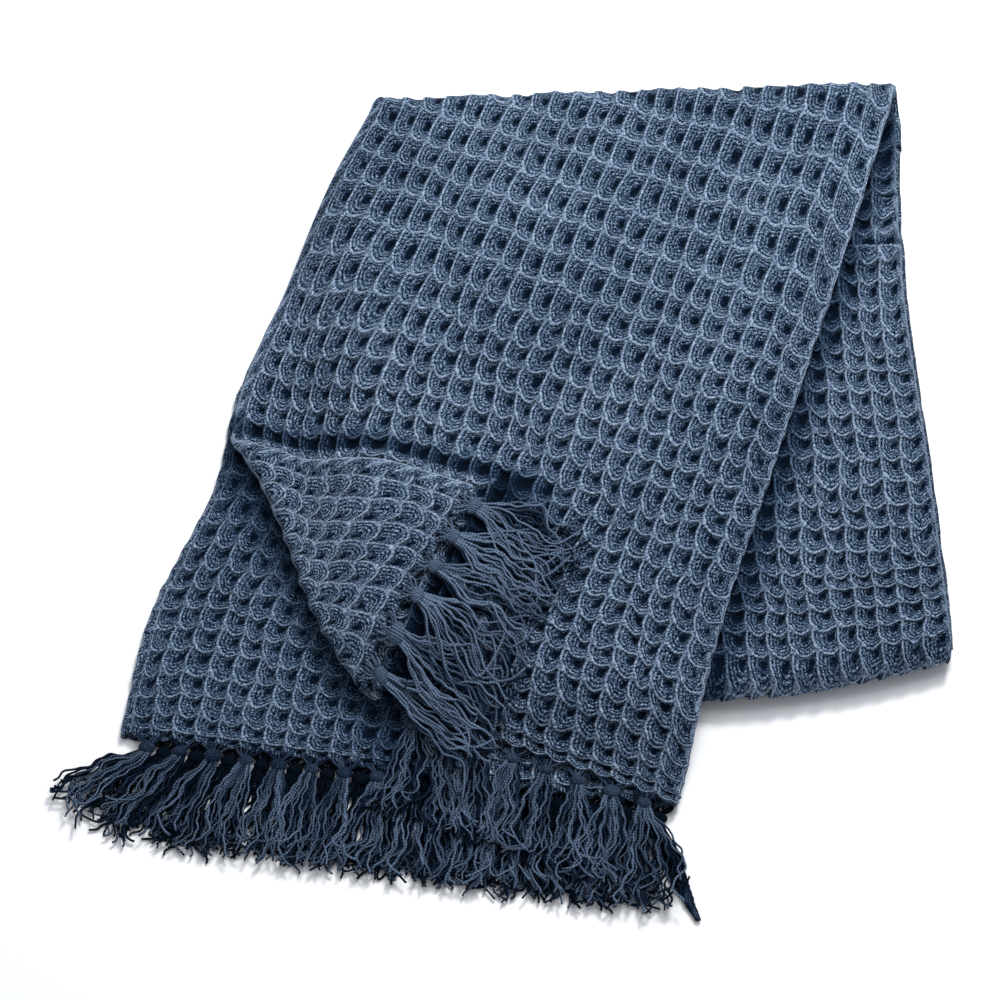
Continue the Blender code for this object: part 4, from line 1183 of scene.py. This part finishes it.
class Bench:
    """A material being made: the node method adds any node, and finish joins up the shader."""

    def __init__(self, name):
        self.material = bpy.data.materials.new(name)
        self.material.use_nodes = True
        self.tree = self.material.node_tree
        self.shader = self.tree.nodes["Principled BSDF"]

    def node(self, kind, settings, values, out=0):
        """A node of a kind: its settings first, a ramp's stops among them, then its sockets."""
        made = self.tree.nodes.new(kind)
        for key, value in settings.items():
            if key == "stops":
                self.set_stops(made.color_ramp, value)
            else:
                setattr(made, key, value)
        for key, value in values.items():
            self.feed(made.inputs[key], value)
        return Wire(self, made.outputs[out])

    def set_stops(self, ramp, stops):
        while len(ramp.elements) < len(stops):
            ramp.elements.new(1.0)
        for element, (place, colour) in zip(ramp.elements, stops):
            element.position = place
            element.color = (*colour, 1.0)

    def feed(self, socket, value):
        if isinstance(value, Wire):
            self.tree.links.new(value.socket, socket)
        elif hasattr(value, "__len__") and socket.type == "RGBA":
            socket.default_value = (*value[:3], 1.0)
        else:
            socket.default_value = value

    def mix(self, one, other, share):
        """The colour one where share is 0 and other where it is 1."""
        return self.node("ShaderNodeMix", {"data_type": "RGBA"}, {0: share, 6: one, 7: other}, 2)

    def noise(self, place, scale, detail=2.0):
        return self.node("ShaderNodeTexNoise", {}, {"Vector": place, "Scale": scale, "Detail": detail})

    def attribute(self, name):
        return self.node("ShaderNodeAttribute", {"attribute_name": name}, {}, "Fac")

    def uv_parts(self):
        """The piece's own weave UV: the whole vector, and its two parts."""
        whole = self.node("ShaderNodeUVMap", {"uv_map": "weave"}, {})
        split = self.node("ShaderNodeSeparateXYZ", {}, {0: whole})
        return whole, split, Wire(self, split.socket.node.outputs[1])

    def finish(self, colour, roughness, specular, normal=None):
        """Feed the shader and give the material."""
        self.feed(self.shader.inputs["Base Color"], colour)
        self.feed(self.shader.inputs["Roughness"], roughness)
        self.feed(self.shader.inputs["Specular IOR Level"], specular)
        if normal:
            self.feed(self.shader.inputs["Normal"], normal)
        return self.material

    def bump(self, height, distance):
        """The normal of a height on a scale of 0 to 1, with a distance in metres for 1."""
        return self.node("ShaderNodeBump", {}, {"Height": height, "Distance": distance, "Strength": 1.0})


def linear(red, green, blue):
    """A screen colour of 0 to 255 as linear light, by the usual 2.4 power curve."""
    return tuple((channel / 12.92 if channel <= 0.04045 else ((channel + 0.055) / 1.055) ** 2.4)
                 for channel in (red / 255, green / 255, blue / 255))


RINGS = 5                       # yarns from a cell's ridge to its pit
DASHES = 9                      # light and dark turns of a yarn's twist along a cell
SHAKE_SCALES = (2.6, 7.0)       # how often the rings bend, coarse and fine, for each cell
SPECK_SCALE = 760.0             # specks, patches and fuzz for each metre
MOTTLE_SCALE = 9.0
FUZZ_SCALE = 1400.0
CREST_EDGE = (0.885, 0.94)      # where the painted highlight on a ridge starts, from a pit's 0 to a ridge's 1
CREST_TOP = (0.965, 1.0)        # and where it turns away again
CLOTH_BUMP = 0.0013             # how high the finish's bumps stand
YARN_BUMP = 0.0006
PLY_TURNS = 420                 # light and dark turns for each metre of a fringe's yarn
WINDINGS = 900                  # and on a knot
COTTON_SPECULAR = 0.05
# Pit and groove are painted shade, ridge a painted highlight, body the yarn's own colour.
COTTON_STOPS = (0.0, 0.22, 0.52, 0.95)      # where pit, groove, body and ridge colours lie


def waffle_finish(look):
    """Denim blue cotton in cells: yarns lie round each pit in rounded squares. The ridges' yarn, the
    rim and the fold outlines are painted highlight, each ring yarn's round back is painted lighter
    than the gap to the next, and painted shade takes the pits down to navy and darkens cloth that
    other cloth lies close to. The ring number is RINGS times the rounded square distance from the
    pit; cos squared of pi times it is a yarn's round back."""
    bench = Bench("waffle_cotton")
    whole, u, v = bench.uv_parts()
    place = bench.node("ShaderNodeTexCoord", {}, {}, "Object")
    band = bench.attribute("band")
    rim = bench.attribute("rim")
    shake, shake_more = (bench.noise(whole, scale, 1.0) - 0.5 for scale in SHAKE_SCALES)
    bend = shake * 0.3 + abs((v * math.pi).sin()) * 0.22 - 0.12
    # Painted highlight: a light line along each fold's and pleat's outline.
    crest_line = 1 - abs(bench.attribute("crest") + bend).eased(0.07, 0.16)
    deep = bench.attribute("deep")
    # Painted shade of nearby cloth: the colour is darkened under the corner's edges and tassels, beside
    # its crease and the front flap, and behind the pleats.
    covered = bench.attribute("covered")
    speck = bench.noise(place, SPECK_SCALE, 2.0) - 0.5
    mottle = bench.noise(place, MOTTLE_SCALE, 3.0) - 0.5
    a, b = abs(u.fract() * 2 - 1), abs(v.fract() * 2 - 1)
    wall = a.greater(b)
    square = wall * (SQUARE_AT_RIDGE - SQUARE_AT_PIT) + SQUARE_AT_PIT
    distance = (a ** square + b ** square) ** (1 / square)
    ring = distance * RINGS + shake * 1.1 * (1.05 - distance) + shake_more * 0.5
    # Each ring yarn's round back: its height for the bump, and in the colour painted light on the back and
    # painted shade in the gap to the next.
    back = (ring * math.pi).cos() ** 2
    steep = a > b
    run = v * steep + u * (1 - steep)
    twist = run * DASHES + ring * 0.7 + shake_more * 2.4
    ply = (twist * 2 * math.pi).sin() * 0.5 + 0.5

    slant = v - u * 1.3 + shake * 0.10
    band_line = ((slant * math.pi).cos() ** 2).eased(0.80, 0.97)
    band_back = (slant * RINGS * math.pi).cos() ** 2
    back = back * (1 - band) + band_back * band

    # Painted shade in the pits: the colour is darkened towards the groove and pit colours, most where the
    # cell lies deepest.
    hollow = 1 - distance + (deep - 0.8) * 0.4 + shake * 0.5 + shake_more * 0.5 + covered * 0.25
    shade = hollow.eased(0.48, 0.96)
    light = 0.24 + back * 0.32 + (ply - 0.5) * 0.24 + speck * 2.0 - mottle * 0.25
    light = light * (1 - shade * 0.85)
    # Painted highlight: the ridges' crests, the band's slanting yarns, the rim and the fold outlines are
    # lightened in the colour.
    line = distance.eased(*CREST_EDGE) * (1 - distance.eased(*CREST_TOP) * 0.45) * (1 - band)
    line = line.greater(band * band_line).greater(rim.eased(0.1, 0.5)).greater(crest_line)
    crest = 0.74 + (ply - 0.5) * 0.34 + speck * 0.9 - mottle * 0.25
    # The painted shade of nearby cloth darkens the colour here.
    light = (light + line * (crest - light)) * (1 - covered * 0.46)
    # The ramp: pit and groove colours are painted shade, body the yarn's own colour, ridge a painted
    # highlight.
    yarn = bench.node("ShaderNodeValToRGB", {"stops": list(zip(COTTON_STOPS, (
        look.pit, look.groove, look.body, look.ridge)))}, {0: light})
    fuzz = bench.noise(place, FUZZ_SCALE, 2.0)
    height = back * 0.5 + line * 0.3 + ply * back * 0.25 + fuzz * 0.2 + speck * 0.3
    return bench.finish(yarn, 0.92 - line * 0.08, COTTON_SPECULAR, bench.bump(height, CLOTH_BUMP))


def yarn_finish(look):
    """The fringe's yarn: two plies wound round each other, seen as slanting light and painted shade
    between them, each yarn a little lighter or darker than the next by its own tone and by painted
    shade, with a fine fuzz."""
    bench = Bench("fringe_yarn_cotton")
    _, run, turn = bench.uv_parts()
    place = bench.node("ShaderNodeTexCoord", {}, {}, "Object")
    tone = bench.attribute("tone")
    ply = ((run * PLY_TURNS + turn) * 2 * math.pi).sin() * 0.5 + 0.5
    wound = bench.attribute("wound")
    winding = ((turn * 2 + run * WINDINGS) * math.pi).sin() ** 2
    ply = ply * (1 - wound) + winding * wound
    speck = bench.noise(place, 700.0, 2.0)
    worn = bench.noise(place, 60.0, 3.0)
    yarn = bench.mix(look.yarn_dark, look.yarn_light, (tone * 0.8 + (worn - 0.5) * 0.7).clipped())
    # Painted shade: the groove colour between plies and a knot's windings, and the pit colour where the
    # tone falls below 0.
    yarn = bench.mix(yarn, look.groove, (1 - ply) * (wound * 0.4 + 0.42))
    yarn = bench.mix(yarn, look.pit, (0 - tone).eased(0.0, 0.7) * 0.92)
    yarn = bench.mix(yarn, look.ridge, (speck - 0.5).eased(0.05, 0.25) * (tone + 0.3).clipped() * 0.3)
    height = ply * 0.7 + speck * 0.3
    return bench.finish(yarn, 0.94 - speck * 0.1, COTTON_SPECULAR, bench.bump(height, YARN_BUMP))


# --- settings
def colour_setting(name, description, red, green, blue):
    """A colour that a user may change, with its default as a screen colour of 0 to 255."""
    return bpy.props.FloatVectorProperty(
        name=name, description=description, subtype="COLOR", size=3, min=0.0, max=1.0,
        default=linear(red, green, blue))


class ThrowLook(bpy.types.PropertyGroup):
    """The throw's colours."""
    # A painted highlight: the ridges' yarn is the body yarn, lightened where the crests catch the light.
    ridge: colour_setting("Ridge", "The light yarns that ride the ridges", 151, 168, 189)
    body: colour_setting("Body", "The yarns on a cell's walls", 69, 89, 113)
    # Painted shade between two yarns.
    groove: colour_setting("Groove", "Between two yarns", 12, 28, 48)
    # Painted shade at the bottom of a cell.
    pit: colour_setting("Pit", "The bottom of a cell", 2, 10, 21)
    yarn_light: colour_setting("Light yarn", "The fringe's lightest yarns", 101, 120, 145)
    yarn_dark: colour_setting("Dark yarn", "The fringe's darkest yarns", 17, 31, 50)


class ThrowSizes(bpy.types.PropertyGroup):
    """How finely the throw is made."""
    cell_steps: bpy.props.IntProperty(
        name="Cell steps", description="Quads along a cell's side where the cloth shows",
        default=CELL_STEPS, min=3, max=9)
    hidden_steps: bpy.props.IntProperty(
        name="Hidden cell steps", description="Quads along a cell's side inside the stack",
        default=3, min=1, max=5)


class ThrowStage(bpy.types.PropertyGroup):
    """The camera and the floor."""
    lens: bpy.props.FloatProperty(
        name="Lens", description="Focal length in millimetres", default=110.0, min=20.0)
    distance: bpy.props.FloatProperty(
        name="Distance", description="From the camera to the middle of the throw",
        default=2.33, min=0.5, unit="LENGTH", subtype="DISTANCE")
    elevation: bpy.props.FloatProperty(
        name="Elevation", description="The camera's angle over the floor",
        default=math.radians(59), min=0.1, max=math.pi / 2, subtype="ANGLE")
    floor: colour_setting("Floor", "The plain pale floor", 238, 239, 241)


# --- operators
def dress(thing, nodes, material):
    """Put a finished piece in place of its nodes: it rides with the throw and takes its finish."""
    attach(thing, "root")
    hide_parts(*nodes)
    thing.data.materials.clear()
    thing.data.materials.append(material)


def material_named(name, make, look):
    """The material of that name, made the first time that it is asked for."""
    return bpy.data.materials.get(name) or make(look)


class THROW_OT_fringes(bpy.types.Operator):
    """Make the knotted tassels along both hems and on the turned corner"""
    bl_idname = "throw.fringes"
    bl_label = "Fringes"

    def execute(self, context):
        material = material_named("fringe_yarn_cotton", yarn_finish, context.scene.throw_look)
        for number, (node, path, count, shown, *habit) in enumerate(combs()):
            twisted = count - 1 if node == "fringe_front_bottom" else None
            name = node.replace("fringe", "tassels")
            thing = make_comb(name, path, count, number, shown, *habit, twisted)
            dress(thing, [node], material)
        return {"FINISHED"}


class THROW_OT_cloth(bpy.types.Operator):
    """Make the waffle cloth on its folds, in four pieces that meet where they are hidden"""
    bl_idname = "throw.cloth"
    bl_label = "Cloth"

    def execute(self, context):
        sizes = context.scene.throw_sizes
        material = material_named("waffle_cotton", waffle_finish, context.scene.throw_look)
        regions = cloth_regions()
        rows = along_cloth(np.arange(CELLS_ALONG + 1.0))
        pieces = (
            # name     looks                    quads in a cell       the tassels on it
            ("front", front_looks, sizes.cell_steps, ("corner", "front_top")),
            ("back", back_looks, sizes.cell_steps, ("back_bottom",)),
            ("left", left_looks, sizes.cell_steps, ("front_middle",)),
            ("inner", inner_looks, sizes.hidden_steps,
             ("front_bottom", "back_top", "back_middle")),
        )
        for name, looks, fine, fringe in pieces:
            inside = regions[name]
            thing = cloth_piece("cloth_" + name, inside, fine, looks, LOOK_SEED)
            dress(thing, ["blanket"], material)
            first, last = np.argwhere(inside).min(axis=0), np.argwhere(inside).max(axis=0) + 1
            with_pieces = [bpy.data.objects["tassels_" + part] for part in fringe]
        return {"FINISHED"}


FLOOR_HALF = 6.0
FLOOR_LEVEL = -0.0004
FLOOR_SPECULAR = 0.1
SKY_COLOUR = (0.93, 0.95, 1.0, 1.0)
SKY_STRENGTH = 0.50
LIGHTS = (
    # name        place               aim              side  power  colour
    ("key",      (0.55, 1.0, 1.75), (0.0, 0.05, 0.0), 0.5, 36.0, (1.0, 1.0, 0.99)),
    ("overhead", (0.2, 0.4, 2.4),   (0.0, 0.0, 0.0),  1.2, 20.0, (0.97, 0.98, 1.0)),
)


def soft_light(name, place, aim, size, power, colour):
    """A square area light at a place, turned to look at its aim."""
    light = bpy.data.lights.new(name, "AREA")
    light.size = size
    light.energy = power
    light.color = colour
    thing = bpy.data.objects.new(name, light)
    bpy.context.scene.collection.objects.link(thing)
    thing.location = place
    x, y, z = np.array(aim) - np.array(place)
    thing.rotation_euler = (math.atan2(math.hypot(x, y), -z), 0.0, math.atan2(y, x) - math.pi / 2)


class THROW_OT_stage(bpy.types.Operator):
    """Make the floor, the lights and the camera at the picture's angle"""
    bl_idname = "throw.stage"
    bl_label = "Stage"

    def execute(self, context):
        scene, stage = context.scene, context.scene.throw_stage
        corners = [(x * FLOOR_HALF, y * FLOOR_HALF, 0) for x, y in ((-1, -1), (1, -1), (1, 1), (-1, 1))]
        mesh = bpy.data.meshes.new("floor")
        mesh.from_pydata(corners, [], [(0, 1, 2, 3)])
        floor = bpy.data.objects.new("floor", mesh)
        floor.location.z = FLOOR_LEVEL
        scene.collection.objects.link(floor)
        mesh.materials.append(Bench("pale_floor").finish(stage.floor, 0.9, FLOOR_SPECULAR))
        floor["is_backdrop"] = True

        camera = bpy.data.cameras.new("camera")
        camera.lens = stage.lens
        camera.sensor_width = 36.0
        camera.clip_end = 50.0
        eye = bpy.data.objects.new("camera", camera)
        scene.collection.objects.link(eye)
        out, up = math.cos(stage.elevation), math.sin(stage.elevation)
        eye.location = (-PLAN_CENTRE[0], -stage.distance * out - PLAN_CENTRE[1], stage.distance * up)
        eye.rotation_euler = (math.pi / 2 - stage.elevation, 0.0, 0.0)
        scene.camera = eye

        for light in LIGHTS:
            soft_light(*light)
        world = bpy.data.worlds.new("studio")
        world.use_nodes = True
        ground = world.node_tree.nodes["Background"]
        ground.inputs["Color"].default_value = SKY_COLOUR
        ground.inputs["Strength"].default_value = SKY_STRENGTH
        scene.world = world
        scene.view_settings.view_transform = "Standard"
        return {"FINISHED"}


class THROW_PT_panel(bpy.types.Panel):
    """The throw's steps and settings"""
    bl_idname = "THROW_PT_panel"
    bl_label = "Folded Waffle Throw"
    bl_space_type = "VIEW_3D"
    bl_region_type = "UI"
    bl_category = "Throw"

    def draw(self, context):
        for step in STEPS:
            self.layout.operator(step.bl_idname)
        for group in ("throw_sizes", "throw_look", "throw_stage"):
            settings = getattr(context.scene, group)
            for key in settings.bl_rna.properties.keys():
                if key not in ("rna_type", "name"):
                    self.layout.prop(settings, key)


STEPS = (THROW_OT_stage, THROW_OT_fringes, THROW_OT_cloth)
GROUPS = {"throw_look": ThrowLook, "throw_sizes": ThrowSizes, "throw_stage": ThrowStage}


def register():
    for group in (*GROUPS.values(), *STEPS, THROW_PT_panel):
        bpy.utils.register_class(group)
    for key, group in GROUPS.items():
        setattr(bpy.types.Scene, key, bpy.props.PointerProperty(type=group))


def unregister():
    for key in GROUPS:
        delattr(bpy.types.Scene, key)
    for group in (*GROUPS.values(), *STEPS, THROW_PT_panel):
        bpy.utils.unregister_class(group)


def main():
    """Make the whole scene."""
    register()
    bpy.ops.throw.stage()
    bpy.ops.throw.fringes()
    bpy.ops.throw.cloth()
    boxes = {key: [list(map(float, corner)) for corner in box]
             for key, box in (("cad", CAD_BOX), ("visual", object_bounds()))}


if __name__ == "__main__":
    main()
